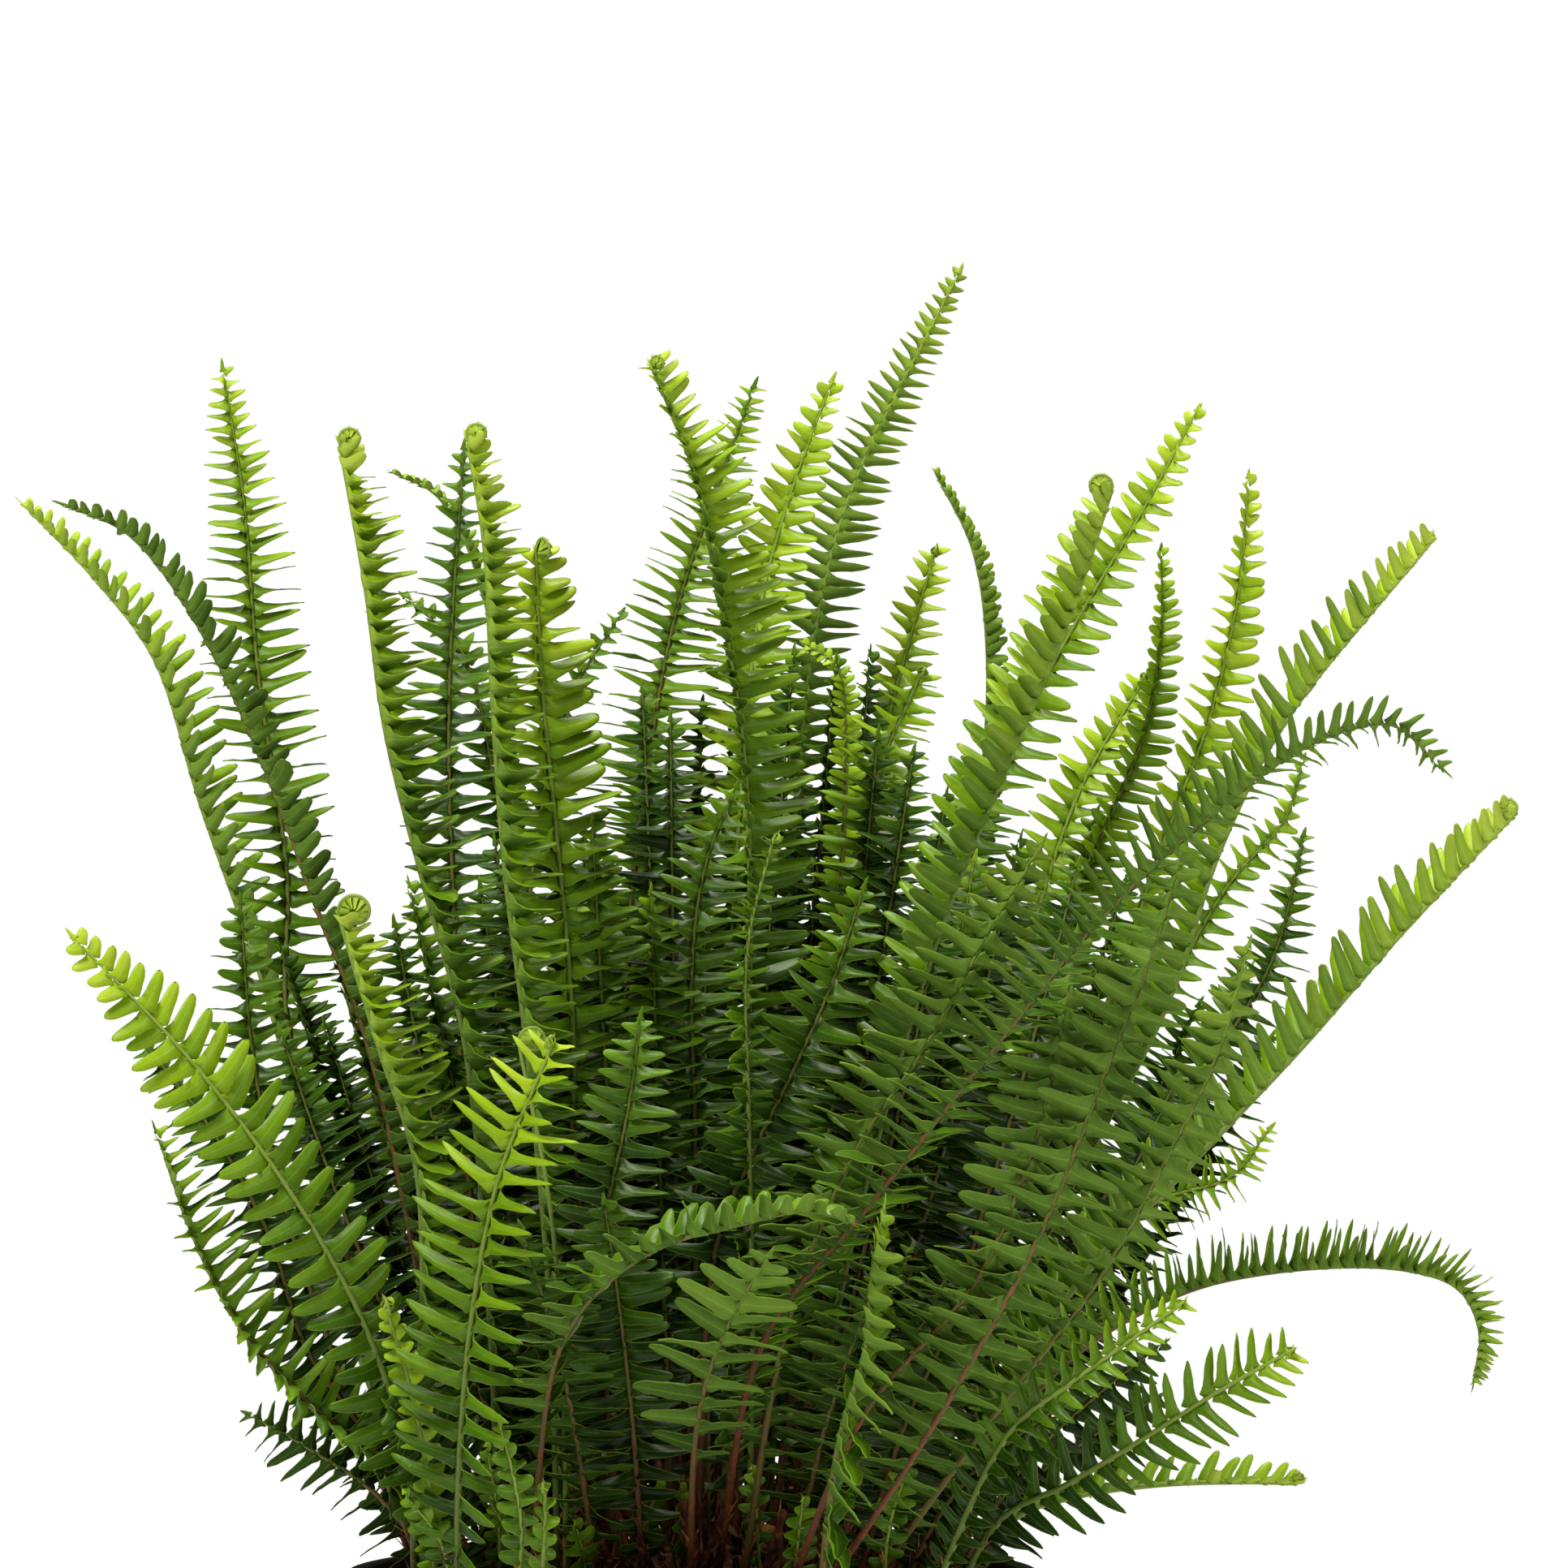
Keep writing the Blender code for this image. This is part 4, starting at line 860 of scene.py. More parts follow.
def stalk(frond, line, plain):
    """The stalk: a round rod that tapers along the frond, brownest low down."""
    tone = TONES[frond.tone]
    chosen = line[:plain:3] + line[plain:]
    last = len(chosen) - 1
    thickness = SHOOT_THICKNESS if frond.tone == "shoot" else 1
    radii = [thickness * (STALK_TAPER * (1 - n / last) ** 0.8 + STALK_TIP) for n in range(last + 1)]
    obj = rod("stalk", [station.point for station in chosen], radii)
    for slot in LEAF_SLOTS:
        obj.data.materials.append(slot)
    stalk_slot = LEAF_SLOTS.index(STALK)
    obj.data.polygons.foreach_set("material_index", [stalk_slot] * len(obj.data.polygons))
    ring = len(obj.data.vertices) // len(chosen)
    shares = [min(1, (n // ring) / last) for n in range(len(obj.data.vertices))]
    skin = {
        "fresh": [tone.foot + (tone.tip - tone.foot) * s for s in shares],
        "rust": [tone.rust * (1 - 0.55 * s) + 0.5 * max(0, 1 - 9 * s) for s in shares],
    }
    for attribute, values in skin.items():
        obj.data.attributes.new(attribute, "FLOAT", "POINT").data.foreach_set("value", values)
    return obj


def put_small(source, spot, direction, size, spin=0.0):
    """A copy of a small solid that stands at the origin, set at a spot along a direction."""
    turn = direction.to_track_quat("Z", "Y").to_matrix().to_4x4() @ Matrix.Rotation(spin, 4, "Z")
    copy = source.copy()
    copy.data = source.data.copy()
    copy.data.transform(Matrix.Translation(spot) @ turn @ Matrix.Diagonal((*size, 1)))
    bpy.context.scene.collection.objects.link(copy)
    return copy


def out_from(station, luck):
    """A random angle round a stalk, and the direction it gives away from the stalk."""
    around = luck.uniform(0, math.tau)
    return around, math.cos(around) * station.side + math.sin(around) * station.up


def scales_on(line, plain, litter, luck):
    """The papery brown scales low on a stalk."""
    made = []
    reach = min(plain, int(SCALED_LENGTH / STEP))
    for n in range(SCALES_PER_STALK):
        station = line[int(reach * (n + 1) / (SCALES_PER_STALK + 2))]
        around, out = out_from(station, luck)
        size = [luck.uniform(0.7, 1.3)] * 3
        spot = station.point + out * 0.6 * MM
        made.append(put_small(litter["scale"], spot, station.along + 0.45 * out, size, around))
    return made


def hairs_on(line, plain, litter, luck):
    """The pale hairs along nine tenths of a young stalk."""
    made = []
    for n in range(8, int(plain * 0.9), int(HAIR_SPACING / STEP)):
        for _ in range(HAIRS_AT_A_PLACE):
            around, out = out_from(line[n], luck)
            size = [luck.uniform(0.6, 1.1)] * 3
            spot = line[n].point + out * 0.5 * MM + line[n].along * luck.uniform(0, 1) * MM
            made.append(put_small(litter["hair"], spot, 0.6 * line[n].along + out, size, around))
    return made


def leaflet_share(t, curled):
    """Length of a leaflet as a share of the longest, from the blade's foot at 0 to its tip at 1."""
    grow = min(1, 0.42 + 3.2 * t)
    begin, least = (0.68, 0.38) if curled else (0.60, 0.22)
    taper = max(0, (t - begin) / (1 - begin)) ** 1.7
    return grow * (1 - (1 - least) * taper)


def put_leaflet(source, station, hand, length, width, lift, lean, louvre, fresh):
    """A copy of a leaflet, set on a stalk at a station."""
    way = hand * math.cos(lift) * station.side + math.sin(lift) * station.up + lean * station.along
    x = way.normalized()
    y = -hand * (station.along - station.along.dot(x) * x).normalized()
    z = x.cross(y)
    turned = Matrix.Rotation(louvre * hand, 3, x)
    y, z = turned @ y, turned @ z
    columns = (x * length, y * width, z * length, station.point)
    place = Matrix([[c[row] for c in columns] for row in range(3)] + [[0, 0, 0, 1]])
    copy = source.copy()
    copy.data = source.data.copy()
    copy.data.transform(place)
    values = [fresh] * len(copy.data.vertices)
    copy.data.attributes["fresh"].data.foreach_set("value", values)
    bpy.context.scene.collection.objects.link(copy)
    return copy


def leaflet_shape(frond, tone, style, share, luck):
    """The shape of one leaflet: its style's, or else the one that its tone and fold call for."""
    shape = "blunt" if luck.random() < tone.blunt else "pointed"
    if frond.fold >= TWISTED_FOLD and share > 0.5:
        shape = "twisted"
    return style.shape or shape


def leaflet_rows(frond, line, plain, leaflets, style, luck):
    """The two rows of leaflets, out of step with each other, from the bare stalk to the tip."""
    tone = TONES[frond.tone]
    length = plain * STEP
    bare = length * style.bare
    pitch = style.pitch * LEAFLET_PITCH * (0.85 + 0.1 * frond.reach)
    count = int((length - bare) / pitch)
    made = []
    for n in range(count):
        for hand in (1, -1):
            t = (n + (0.25 if hand > 0 else 0.7)) / count
            s = bare + (t + CROWDING * t * (1 - t)) * (length - bare)
            share = leaflet_share(t, frond.curl > 0)
            # The style's shade is added to the freshness; for the inner and low crowd it is painted shade.
            fresh = tone.foot + (tone.tip - tone.foot) * t**1.3 + style.shade
            fresh += luck.uniform(-FRESH_SPREAD, FRESH_SPREAD)
            shape = leaflet_shape(frond, tone, style, share, luck)
            source = luck.choice(leaflets[shape, hand])
            # Each leaflet differs a little in size, fold, lean and turn from its neighbours.
            reach = frond.reach * CM * share * luck.uniform(0.86, 1.08)
            width = style.width * pitch * (0.66 + 0.36 * share) * luck.uniform(0.95, 1.08)
            lift = frond.fold + luck.uniform(-10, 10)
            lean = style.lean or (-0.1 if shape == "twisted" else 0.02)
            lean += 0.22 * t
            lean += luck.uniform(-0.11, 0.11)
            louvre = (0.2 if shape == "flat" else 1) * tone.louvre + luck.uniform(-15, 15)
            made.append(put_leaflet(
                source, line[min(plain - 1, int(s / STEP))], hand, reach, width,
                math.radians(lift), lean, math.radians(louvre), fresh))
    return made


def coil_leaflets(frond, line, plain, leaflets, luck):
    """The small leaflets that are still folded over a coiled tip."""
    rolled = len(line) - plain
    made = []
    for n in range(0, rolled, 2):
        share = 1 - 0.5 * n / rolled
        for hand in (1, -1):
            source = luck.choice(leaflets["blunt", hand])
            fresh = TONES[frond.tone].tip * luck.uniform(0.85, 1)
            made.append(put_leaflet(
                source, line[plain + n], hand, max(frond.curl, 0.3) * CM * share,
                COIL_LEAFLET_WIDTH * share, math.radians(COIL_LEAFLET_LIFT), 0.1, 0, fresh))
    return made


def end_leaflet(frond, line, leaflets):
    """The single leaflet that an open blade ends in."""
    tip = line[-1]
    ending = Station(tip.point, tip.side, -tip.along, tip.up)
    return put_leaflet(
        leaflets["pointed", 1][2], ending, -1, frond.reach * CM * END_LEAFLET_SHARE,
        END_LEAFLET_WIDTH, 0, 0, 0, TONES[frond.tone].tip)


def grow_frond(name, frond, leaflets, litter, style):
    """One frond: its stalk, scales, hairs and leaflets, joined. A frond without reach is bare."""
    luck = random.Random(name)
    line, plain = frond_line(frond)
    pieces = [stalk(frond, line, plain)]
    pieces += scales_on(line, plain, litter, luck)
    if frond.tone in HAIRY_TONES:
        pieces += hairs_on(line, plain, litter, luck)
    if frond.reach:
        pieces += leaflet_rows(frond, line, plain, leaflets, style, luck)
    if frond.curl:
        pieces += coil_leaflets(frond, line, plain, leaflets, luck)
    elif frond.reach:
        pieces.append(end_leaflet(frond, line, leaflets))
    made = join(pieces, name + "_foliage")
    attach(made, "root")
    return made


# The crowd's fronds are drawn in cm, like the named ones. spread runs from -1, the left end of
# their group, to 1, the right end.


def inner_frond(luck, spread):
    """A frond of the dense middle: upright, within the outline of the named ones."""
    x = 2.5 + 16.5 * spread + luck.uniform(-1, 1)
    height = 33 - 11 * abs(spread) ** 1.5 - luck.uniform(0, 9)
    depth = luck.uniform(-3, 9)
    foot = 0.45 * x + luck.uniform(-1, 1)
    # Mostly dark tones: together with the group's negative shade, this is painted shade for the plant's
    # inside.
    tone = luck.choice(["dark", "dark", "mid"])
    reach = luck.uniform(1.7, 2.1)
    fold = luck.uniform(10, 35)
    facing = luck.uniform(-150, -30)
    return Frond(tone, reach, fold, facing, 0, [
        (foot, 0.5 * depth), (foot + 0.35 * (x - foot), 0.8 * depth, 0.35 * height),
        (foot + 0.72 * (x - foot), depth, 0.7 * height), (x, depth, height)])


def low_frond(luck, spread):
    """A short frond that fills the front and sides just above the soil."""
    x = 1 + 12 * spread + math.copysign(4, spread) + luck.uniform(-1, 1)
    height = 13 - 4 * abs(spread) - luck.uniform(0, 5)
    depth = -2 - 5 * (1 - abs(spread)) + luck.uniform(-3, 3)
    foot = 0.5 * x
    # Mostly dark tones, as painted shade low in the plant.
    tone = luck.choice(["dark", "dark", "olive"])
    reach = luck.uniform(1.5, 2.0)
    fold = luck.uniform(10, 30)
    # Half of them show their upper side to the front, half to the back.
    facing = luck.choice([luck.uniform(-130, -50), luck.uniform(60, 120)])
    return Frond(tone, reach, fold, facing, 0, [
        (foot, 0.6 * depth - 1), (foot + 0.4 * (x - foot), 0.9 * depth, 0.45 * height),
        (foot + 0.75 * (x - foot), 1.1 * depth, 0.8 * height), (x, 1.25 * depth, height)])


def back_frond(luck, spread):
    """A frond that leans back, out of the front view."""
    depth = luck.uniform(8, 16)
    height = luck.uniform(13, 31) - 5 * abs(spread)
    x = 1 + 12 * spread
    tone = luck.choice(["dark", "mid", "mid"])
    reach = luck.uniform(1.7, 2.1)
    fold = luck.uniform(10, 35)
    facing = luck.uniform(40, 140)
    return Frond(tone, reach, fold, facing, 0, [
        (0.4 * x, 4 + luck.uniform(0, 3)), (0.6 * x, 0.6 * depth, 0.4 * height),
        (0.85 * x, 0.85 * depth, 0.75 * height), (x, depth, height)])


def small_shoot(luck, _):
    """A little shoot among the frond bases at the front."""
    x, y = luck.uniform(-8.6, 7), -luck.uniform(3.5, 7.5)
    height = luck.uniform(1.8, 5)
    away = 0.12 * x + luck.uniform(-1, 1)
    return Frond("shoot", luck.uniform(0.5, 0.85), 20, luck.uniform(-130, -50), 0, [
        (x, y), (x + 0.3 * away, y - 0.3, 0.45 * height - 0.5), (x + away, y - 0.8, height - 0.5)])


def grow_crowd(leaflets, litter):
    """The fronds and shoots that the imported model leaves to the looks."""
    for group, seed, count, draw in (
            ("inner", "inner", INNER_FRONDS, inner_frond), ("low", "low", LOW_FRONDS, low_frond),
            ("rear", "back", BACK_FRONDS, back_frond), ("small", "shoot", SMALL_SHOOTS, small_shoot)):
        for number in range(count):
            luck = random.Random(f"{seed} {number}")
            frond = draw(luck, 2 * number / (count - 1) - 1)
            grow_frond(f"{group}_frond_{number + 1:02d}", frond, leaflets, litter, CROWD_STYLES[group])


# ---------------------------------------------------------------- pot, soil and crown


def turn_by_hand(name, section, sides):
    """A solid of revolution, drawn out ring by ring through (radius, height), closed at both ends."""
    deselect_all()
    bpy.ops.mesh.primitive_circle_add(vertices=sides, radius=section[0][0], location=(0, 0, section[0][1]))
    made = bpy.context.active_object
    bpy.ops.object.transform_apply(location=True, rotation=True, scale=True)
    bpy.ops.object.mode_set(mode="EDIT")
    bpy.ops.mesh.select_all(action="SELECT")
    for (radius, height), (wider, higher) in zip(section, section[1:]):
        bpy.ops.mesh.extrude_region()
        bpy.ops.transform.resize(value=(wider / radius, wider / radius, 1), center_override=(0, 0, height))
        bpy.ops.transform.translate(value=(0, 0, higher - height))
    bpy.ops.mesh.edge_face_add()
    bpy.ops.mesh.select_all(action="DESELECT")
    bpy.ops.mesh.select_non_manifold()
    bpy.ops.mesh.edge_face_add()
    bpy.ops.mesh.select_all(action="SELECT")
    bpy.ops.mesh.normals_make_consistent(inside=False)
    bpy.ops.object.mode_set(mode="OBJECT")
    made.name = made.data.name = name
    return made


def make_lumpy(obj, above, lump, strength):
    """Raises and sinks whatever lies above a height, in lumps of a given size."""
    group = obj.vertex_groups.new(name="surface")
    group.add([v.index for v in obj.data.vertices if v.co.z > above], 1, "REPLACE")
    clouds = bpy.data.textures.new(obj.name + "_lumps", "CLOUDS")
    clouds.noise_scale = lump
    clouds.noise_depth = 3
    relief = obj.modifiers.new("Lumps", "DISPLACE")
    relief.texture = clouds
    relief.texture_coords = "GLOBAL"
    relief.direction = "Z"
    relief.strength = strength
    relief.vertex_group = "surface"
    apply_modifiers(obj)
    bpy.ops.object.shade_smooth()


def give_material(obj, material):
    """Makes a material an object's only one."""
    obj.data.materials.clear()
    obj.data.materials.append(material)


def drill_drains(pot):
    """Cuts the ring of drain holes through the channel's raised floor."""
    drills = []
    middle = (CHANNEL_INNER_RADIUS + CHANNEL_OUTER_RADIUS) / 2
    for number in range(DRAIN_COUNT):
        turn = math.tau * (number + 0.5) / DRAIN_COUNT
        deselect_all()
        bpy.ops.mesh.primitive_cylinder_add(
            vertices=40, radius=DRAIN_RADIUS, depth=24 * MM,
            location=(middle * math.cos(turn), middle * math.sin(turn), CHANNEL_RISE))
        drills.append(bpy.context.active_object)
    drill = join(drills, "drill")
    cut = pot.modifiers.new("Drains", "BOOLEAN")
    cut.operation = "DIFFERENCE"
    cut.object = drill
    apply_modifiers(pot)
    bpy.data.objects.remove(drill)


def make_pot():
    """The moulded pot: its wall with a stepped shoulder and a turned-down rim, and drain holes."""
    pot = turn_by_hand("pot_shell", [
        # Up the inside, from the middle of the base.
        (CHANNEL_INNER_RADIUS + CORNER, FLOOR_THICKNESS),
        (CHANNEL_INNER_RADIUS + CORNER + CHANNEL_SLOPE, CHANNEL_RISE + WALL),
        (CHANNEL_OUTER_RADIUS - CORNER - CHANNEL_SLOPE, CHANNEL_RISE + WALL),
        (CHANNEL_OUTER_RADIUS - CORNER, FLOOR_THICKNESS),
        (FOOT_RADIUS - WALL - CORNER, FLOOR_THICKNESS),
        (SHOULDER_RADIUS - SHOULDER_STEP - WALL, SHOULDER_HEIGHT - SHOULDER_STEP),
        (SHOULDER_RADIUS - WALL, SHOULDER_HEIGHT),
        (WALL_TOP_RADIUS - WALL, POT_HEIGHT - CORNER),
        # Over the rim and round its turned-down lip.
        (WALL_TOP_RADIUS - WALL + CORNER, POT_HEIGHT),
        (LIP_RADIUS - CORNER, POT_HEIGHT),
        (LIP_RADIUS, POT_HEIGHT - CORNER),
        (LIP_RADIUS, POT_HEIGHT - LIP_DROP),
        (LIP_RADIUS - LIP_WALL, POT_HEIGHT - LIP_DROP),
        (LIP_RADIUS - LIP_WALL, POT_HEIGHT - RIM_THICKNESS),
        # Down the outside and back under the base.
        (WALL_TOP_RADIUS, POT_HEIGHT - RIM_THICKNESS),
        (SHOULDER_RADIUS, SHOULDER_HEIGHT),
        (SHOULDER_RADIUS - SHOULDER_STEP, SHOULDER_HEIGHT - SHOULDER_STEP),
        (FOOT_RADIUS, CORNER),
        (FOOT_RADIUS - CORNER, 0),
        (CHANNEL_OUTER_RADIUS, 0),
        (CHANNEL_OUTER_RADIUS - CHANNEL_SLOPE, CHANNEL_RISE),
        (CHANNEL_INNER_RADIUS + CHANNEL_SLOPE, CHANNEL_RISE),
        (CHANNEL_INNER_RADIUS, 0),
    ], POT_SIDES)
    # The small rounds on every corner catch the light along the rim.
    rounds = pot.modifiers.new("Rounds", "BEVEL")
    rounds.width = CORNER_ROUND
    rounds.segments = 2
    rounds.limit_method = "ANGLE"
    rounds.angle_limit = math.radians(25)
    apply_modifiers(pot)
    drill_drains(pot)
    activate(pot)
    bpy.ops.object.shade_smooth_by_angle(angle=math.radians(30))
    give_material(pot, plastic_material())
    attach(pot, "root")
    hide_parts("nursery_pot")


def make_soil():
    """The potting soil: lumpy on top, filling the pot below."""
    inside = -WALL - 0.5 * MM
    wide = WALL_TOP_RADIUS + inside - 1.5 * MM
    rings = 22
    top = [(wide * (n + 0.5) / rings, SOIL_TOP) for n in range(rings)]
    soil = turn_by_hand("soil_body", top + [
        (wide, SOIL_TOP - 1.5 * MM),
        (SHOULDER_RADIUS + inside - 0.3 * MM, SHOULDER_HEIGHT),
        (SHOULDER_RADIUS - SHOULDER_STEP + inside - 0.6 * MM, SHOULDER_HEIGHT - 3 * MM),
        (FOOT_RADIUS + inside - 0.7 * MM, CHANNEL_RISE + WALL + 0.2 * MM),
    ], 120)
    make_lumpy(soil, SOIL_TOP - 0.5 * MM, 12 * MM, 9 * MM)
    give_material(soil, PEAT)
    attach(soil, "root")
    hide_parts("potting_soil")


def make_crown():
    """The mound of rhizomes that the fronds rise from."""
    rings = 12
    dome = []
    for n in range(rings):
        share = (n + 0.5) / rings
        dome.append((CROWN_RADIUS * (n + 0.5) / rings, CROWN_HEIGHT * (1 - share**2)))
    crown = turn_by_hand("crown_mound", dome + [(CROWN_RADIUS, 0), (CROWN_RADIUS - 4 * MM, -4 * MM)], 64)
    crown.location = (*CROWN_CENTRE, SOIL_TOP)
    activate(crown)
    bpy.ops.object.transform_apply(location=True, rotation=True, scale=True)
    make_lumpy(crown, SOIL_TOP + 0.5 * MM, 7 * MM, 10 * MM)
    give_material(crown, OLD_BASE)
    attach(crown, "root")
    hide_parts("rhizome_crown")


# ---------------------------------------------------------------- litter


def model_small(name, material):
    """Finishes the active primitive as a small solid that is copied many times."""
    made = bpy.context.active_object
    bpy.ops.object.transform_apply(location=True, rotation=True, scale=True)
    made.name = name
    give_material(made, material)
    bpy.ops.object.shade_smooth_by_angle(angle=math.radians(50))
    return made


def model_spike(name, material, sides, foot, top, height, flatness=1.0):
    """A small tapering solid that stands at the origin."""
    deselect_all()
    bpy.ops.mesh.primitive_cone_add(
        vertices=sides, radius1=foot, radius2=top, depth=height,
        location=(0, 0, height / 2), scale=(1, flatness, 1))
    return model_small(name, material)


def model_litter():
    """The small things that lie and stand on the soil, each modelled once, upright at the origin."""
    # The stub is 1 m long, so that a copy's stretch is its length.
    kept = {
        "stub": model_spike("stub", OLD_BASE, 9, 2.1 * MM, 1.2 * MM, 1),
        "scale": model_spike("scale", SCALE, 4, 0.55 * MM, 0.02 * MM, 7 * MM, 0.3),
        "hair": model_spike("hair", HAIR, 3, 0.16 * MM, 0.01 * MM, 1.6 * MM),
    }
    deselect_all()
    bpy.ops.mesh.primitive_ico_sphere_add(subdivisions=1, radius=1 * MM)
    kept["crumb"] = model_small("crumb", PEAT)
    deselect_all()
    bpy.ops.mesh.primitive_cube_add(size=1 * MM)
    bpy.ops.object.mode_set(mode="EDIT")
    bpy.ops.mesh.bevel(offset=0.18 * MM, segments=1)
    bpy.ops.object.mode_set(mode="OBJECT")
    kept["chip"] = model_small("chip", BARK)
    return kept


def on_ground(luck, nearest, farthest, lift):
    """A random spot on the soil or the crown, between two distances from the pot's middle."""
    around = luck.uniform(0, math.tau)
    away = math.sqrt(luck.uniform(nearest**2, farthest**2))
    x, y = away * math.cos(around), away * math.sin(around)
    return Vector((x, y, ground(x, y) + lift))


def finish_litter(pieces, name):
    """Joins one kind of litter into one piece of the given name."""
    made = join(pieces, name)
    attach(made, "root")


def scatter_crumbs(litter, luck):
    """Crumbs of peat, 1 to 6 mm across, many small and few large."""
    pieces = []
    for _ in range(CRUMBS):
        size = 0.6 + 2.2 * luck.random() ** 2
        tilt = Vector((luck.uniform(-1, 1), luck.uniform(-1, 1), luck.uniform(0.2, 1)))
        spot = on_ground(luck, 0, SOIL_RADIUS - 3 * MM, 0.6 * MM)
        shape = (size, size * luck.uniform(0.6, 1), size * luck.uniform(0.5, 0.9))
        pieces.append(put_small(litter["crumb"], spot, tilt, shape))
    finish_litter(pieces, "soil_crumbs")


def scatter_chips(litter, luck):
    """Flat chips of bark, 3 to 9 mm long."""
    pieces = []
    for _ in range(CHIPS):
        tilt = Vector((luck.uniform(-0.5, 0.5), luck.uniform(-0.5, 0.5), 1))
        spot = on_ground(luck, 30 * MM, SOIL_RADIUS - 6 * MM, 2 * MM)
        shape = (luck.uniform(3, 9), luck.uniform(2, 5), luck.uniform(1, 2))
        pieces.append(put_small(litter["chip"], spot, tilt, shape, luck.uniform(0, math.tau)))
    finish_litter(pieces, "bark_chips")


def stand_old_bases(litter, luck):
    """The bases of fallen fronds, which lean outwards from the crown, with their papery scales."""
    pieces = []
    for _ in range(OLD_STUBS):
        around = luck.uniform(0, math.tau)
        away = CROWN_RADIUS * 1.15 * math.sqrt(luck.random())
        x = CROWN_CENTRE[0] + away * math.cos(around)
        y = CROWN_CENTRE[1] + away * math.sin(around)
        outwards = 0.15 + 1.5 * away / CROWN_RADIUS * luck.random()
        lean = Vector((math.cos(around), math.sin(around), 0)) * outwards
        lean += Vector((luck.uniform(-0.3, 0.3), luck.uniform(-0.3, 0.3), luck.uniform(0.5, 1)))
        lean.normalize()
        length = luck.uniform(12, 46) * MM
        thick = luck.uniform(0.6, 1.1)
        foot = Vector((x, y, ground(x, y) - 4 * MM))
        pieces.append(put_small(litter["stub"], foot, lean, (thick, thick, length), luck.random()))
        across = lean.orthogonal().normalized()
        for _ in range(SCALES_PER_STUB):
            side = Matrix.Rotation(luck.uniform(0, math.tau), 3, lean) @ across
            size = luck.uniform(0.7, 1.4)
            spot = foot + lean * length * luck.uniform(0.15, 0.9) + side * 1.1 * MM * thick
            spin = luck.random() * 3
            pieces.append(put_small(litter["scale"], spot, lean + 0.5 * side, (size, size, size), spin))
    finish_litter(pieces, "old_frond_bases")


def lay_roots(luck):
    """Wiry roots that wander outwards over the soil in low arches."""
    pieces = []
    for _ in range(ROOTS):
        around = luck.uniform(0, math.tau)
        x = CROWN_CENTRE[0] + 0.03 * math.cos(around)
        y = CROWN_CENTRE[1] + 0.03 * math.sin(around)
        points = []
        steps = luck.randint(14, 24)
        for n in range(steps):
            arch = 7 * MM * math.sin(math.pi * n / (steps - 1)) * luck.uniform(0.7, 1)
            points.append(Vector((x, y, ground(x, y) - 2 * MM + arch)))
            around += luck.uniform(-0.5, 0.5)
            x += ROOT_STRIDE * math.cos(around)
            y += ROOT_STRIDE * math.sin(around)
            if math.hypot(x, y) > SOIL_RADIUS - 4 * MM:
                break
        thick = luck.uniform(0.35, 0.8) * MM
        root = rod("root", points, [thick * (1 - 0.6 * n / len(points)) for n in range(len(points))])
        root.data.materials.append(OLD_BASE)
        pieces.append(root)
    finish_litter(pieces, "wiry_roots")


def drop_leaflets(leaflets, luck):
    """Dead leaflets that lie on the soil and hang in the frond bases, most of them tipped forwards."""
    pieces = []
    for _ in range(FALLEN_LEAFLETS):
        spot = on_ground(luck, 10 * MM, SOIL_RADIUS - 14 * MM, luck.uniform(3, 12) * MM)
        up = Vector((luck.uniform(-0.7, 0.7), luck.uniform(-1.1, 0.3), 1)).normalized()
        turn = luck.uniform(0, math.tau)
        along = Vector((math.cos(turn), math.sin(turn), 0))
        along = (along - along.dot(up) * up).normalized()
        leaf = put_leaflet(
            luck.choice(leaflets["blunt", 1]), Station(spot, along, up.cross(along), up), 1,
            luck.uniform(9, 17) * MM, luck.uniform(4, 7) * MM, 0, 0, 0, luck.random())
        for slot in range(len(leaf.data.materials)):
            leaf.data.materials[slot] = WITHERED
        pieces.append(leaf)
    finish_litter(pieces, "fallen_leaflets")


def scatter_litter(leaflets, litter):
    """Crumbs, bark, old frond bases with their scales, roots and dead leaflets."""
    luck = random.Random("litter")
    scatter_crumbs(litter, luck)
    scatter_chips(litter, luck)
    stand_old_bases(litter, luck)
    lay_roots(luck)
    drop_leaflets(leaflets, luck)


# ---------------------------------------------------------------- studio


def add_camera():
    bpy.ops.object.camera_add(location=EYE, rotation=(math.pi / 2, 0, 0))
    camera = bpy.context.active_object
    camera.name = "front_camera"
    camera.data.sensor_width = SENSOR_MM
    camera.data.lens = SENSOR_MM * -EYE.y / VIEW_WIDTH
    camera.data.clip_start = 0.05
    camera.data.clip_end = 50
    bpy.context.scene.camera = camera


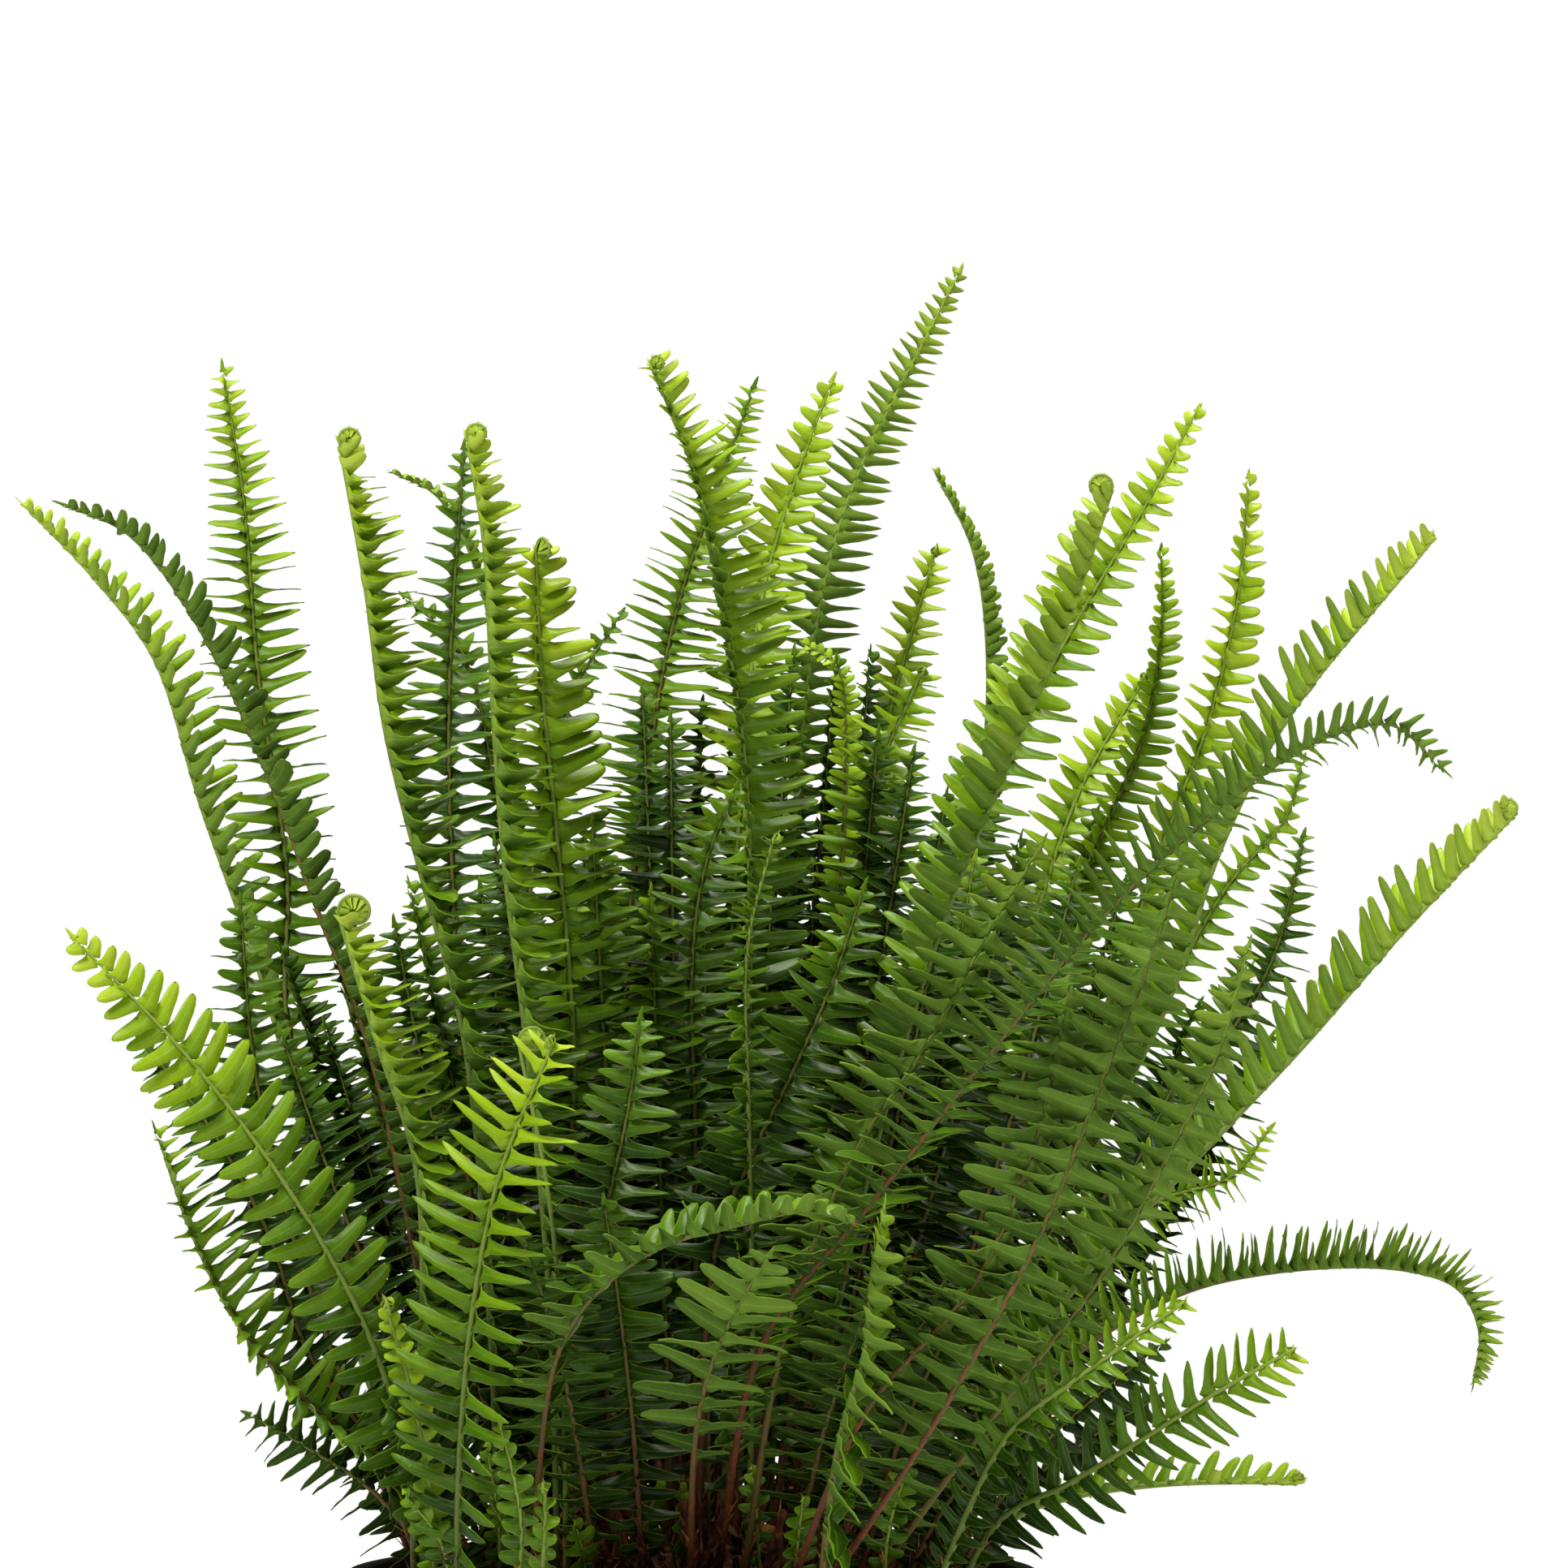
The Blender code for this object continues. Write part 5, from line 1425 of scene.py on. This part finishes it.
def add_softbox(name, location, target, size, watts):
    bpy.ops.object.light_add(type="AREA", location=location)
    light = bpy.context.active_object
    light.name = name
    light.data.shape = "RECTANGLE"
    light.data.size, light.data.size_y = size
    light.data.energy = watts
    light.data.color = WARM_WHITE[:3]
    aim = Vector(target) - Vector(location)
    light.rotation_euler = aim.to_track_quat("-Z", "Y").to_euler()


def add_world():
    """White walls all round. The eye sees them pure white, but they light the plant less than that,
    so that its inside stays dark."""
    world = bpy.data.worlds.new("white_studio")
    bpy.context.scene.world = world
    world.use_nodes = True
    tree = world.node_tree
    seen = tree.nodes["Background"]
    seen.inputs["Color"].default_value = (1, 1, 1, 1)
    lit = node(tree, "ShaderNodeBackground", {"Color": WARM_WHITE, "Strength": ROOM_LIGHT})
    eye = node(tree, "ShaderNodeLightPath").outputs["Is Camera Ray"]
    mixed = node(tree, "ShaderNodeMixShader", links={0: eye, 1: lit, 2: seen})
    tree.links.new(mixed.outputs[0], tree.nodes["World Output"].inputs["Surface"])


def add_floor():
    """A round of seamless white paper, which shines a little so that its shadows stay soft."""
    deselect_all()
    bpy.ops.mesh.primitive_circle_add(vertices=96, radius=STUDIO_RADIUS, fill_type="NGON")
    floor = bpy.context.active_object
    floor.name = "studio_floor"
    paper, _ = new_material("seamless_paper", {
        "Base Color": (0.8, 0.8, 0.8, 1), "Roughness": 0.9,
        "Emission Color": (1, 1, 1, 1), "Emission Strength": 0.04})
    floor.data.materials.append(paper)


def add_studio():
    bpy.context.scene.view_settings.view_transform = "Standard"
    add_world()
    for softbox in SOFTBOXES:
        add_softbox(*softbox)
    add_floor()


add_camera()
make_pot()
make_soil()
make_crown()
litter = model_litter()
leaflets = model_leaflets()
for name, frond in FRONDS.items():
    foliage = grow_frond(name, frond, leaflets, litter, STYLES.get(name, Style()))
    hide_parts(name)
grow_crowd(leaflets, litter)
scatter_litter(leaflets, litter)
# The models that everything was copied from have served.
for model in [*litter.values(), *(leaf for variants in leaflets.values() for leaf in variants)]:
    bpy.data.objects.remove(model)
add_studio()
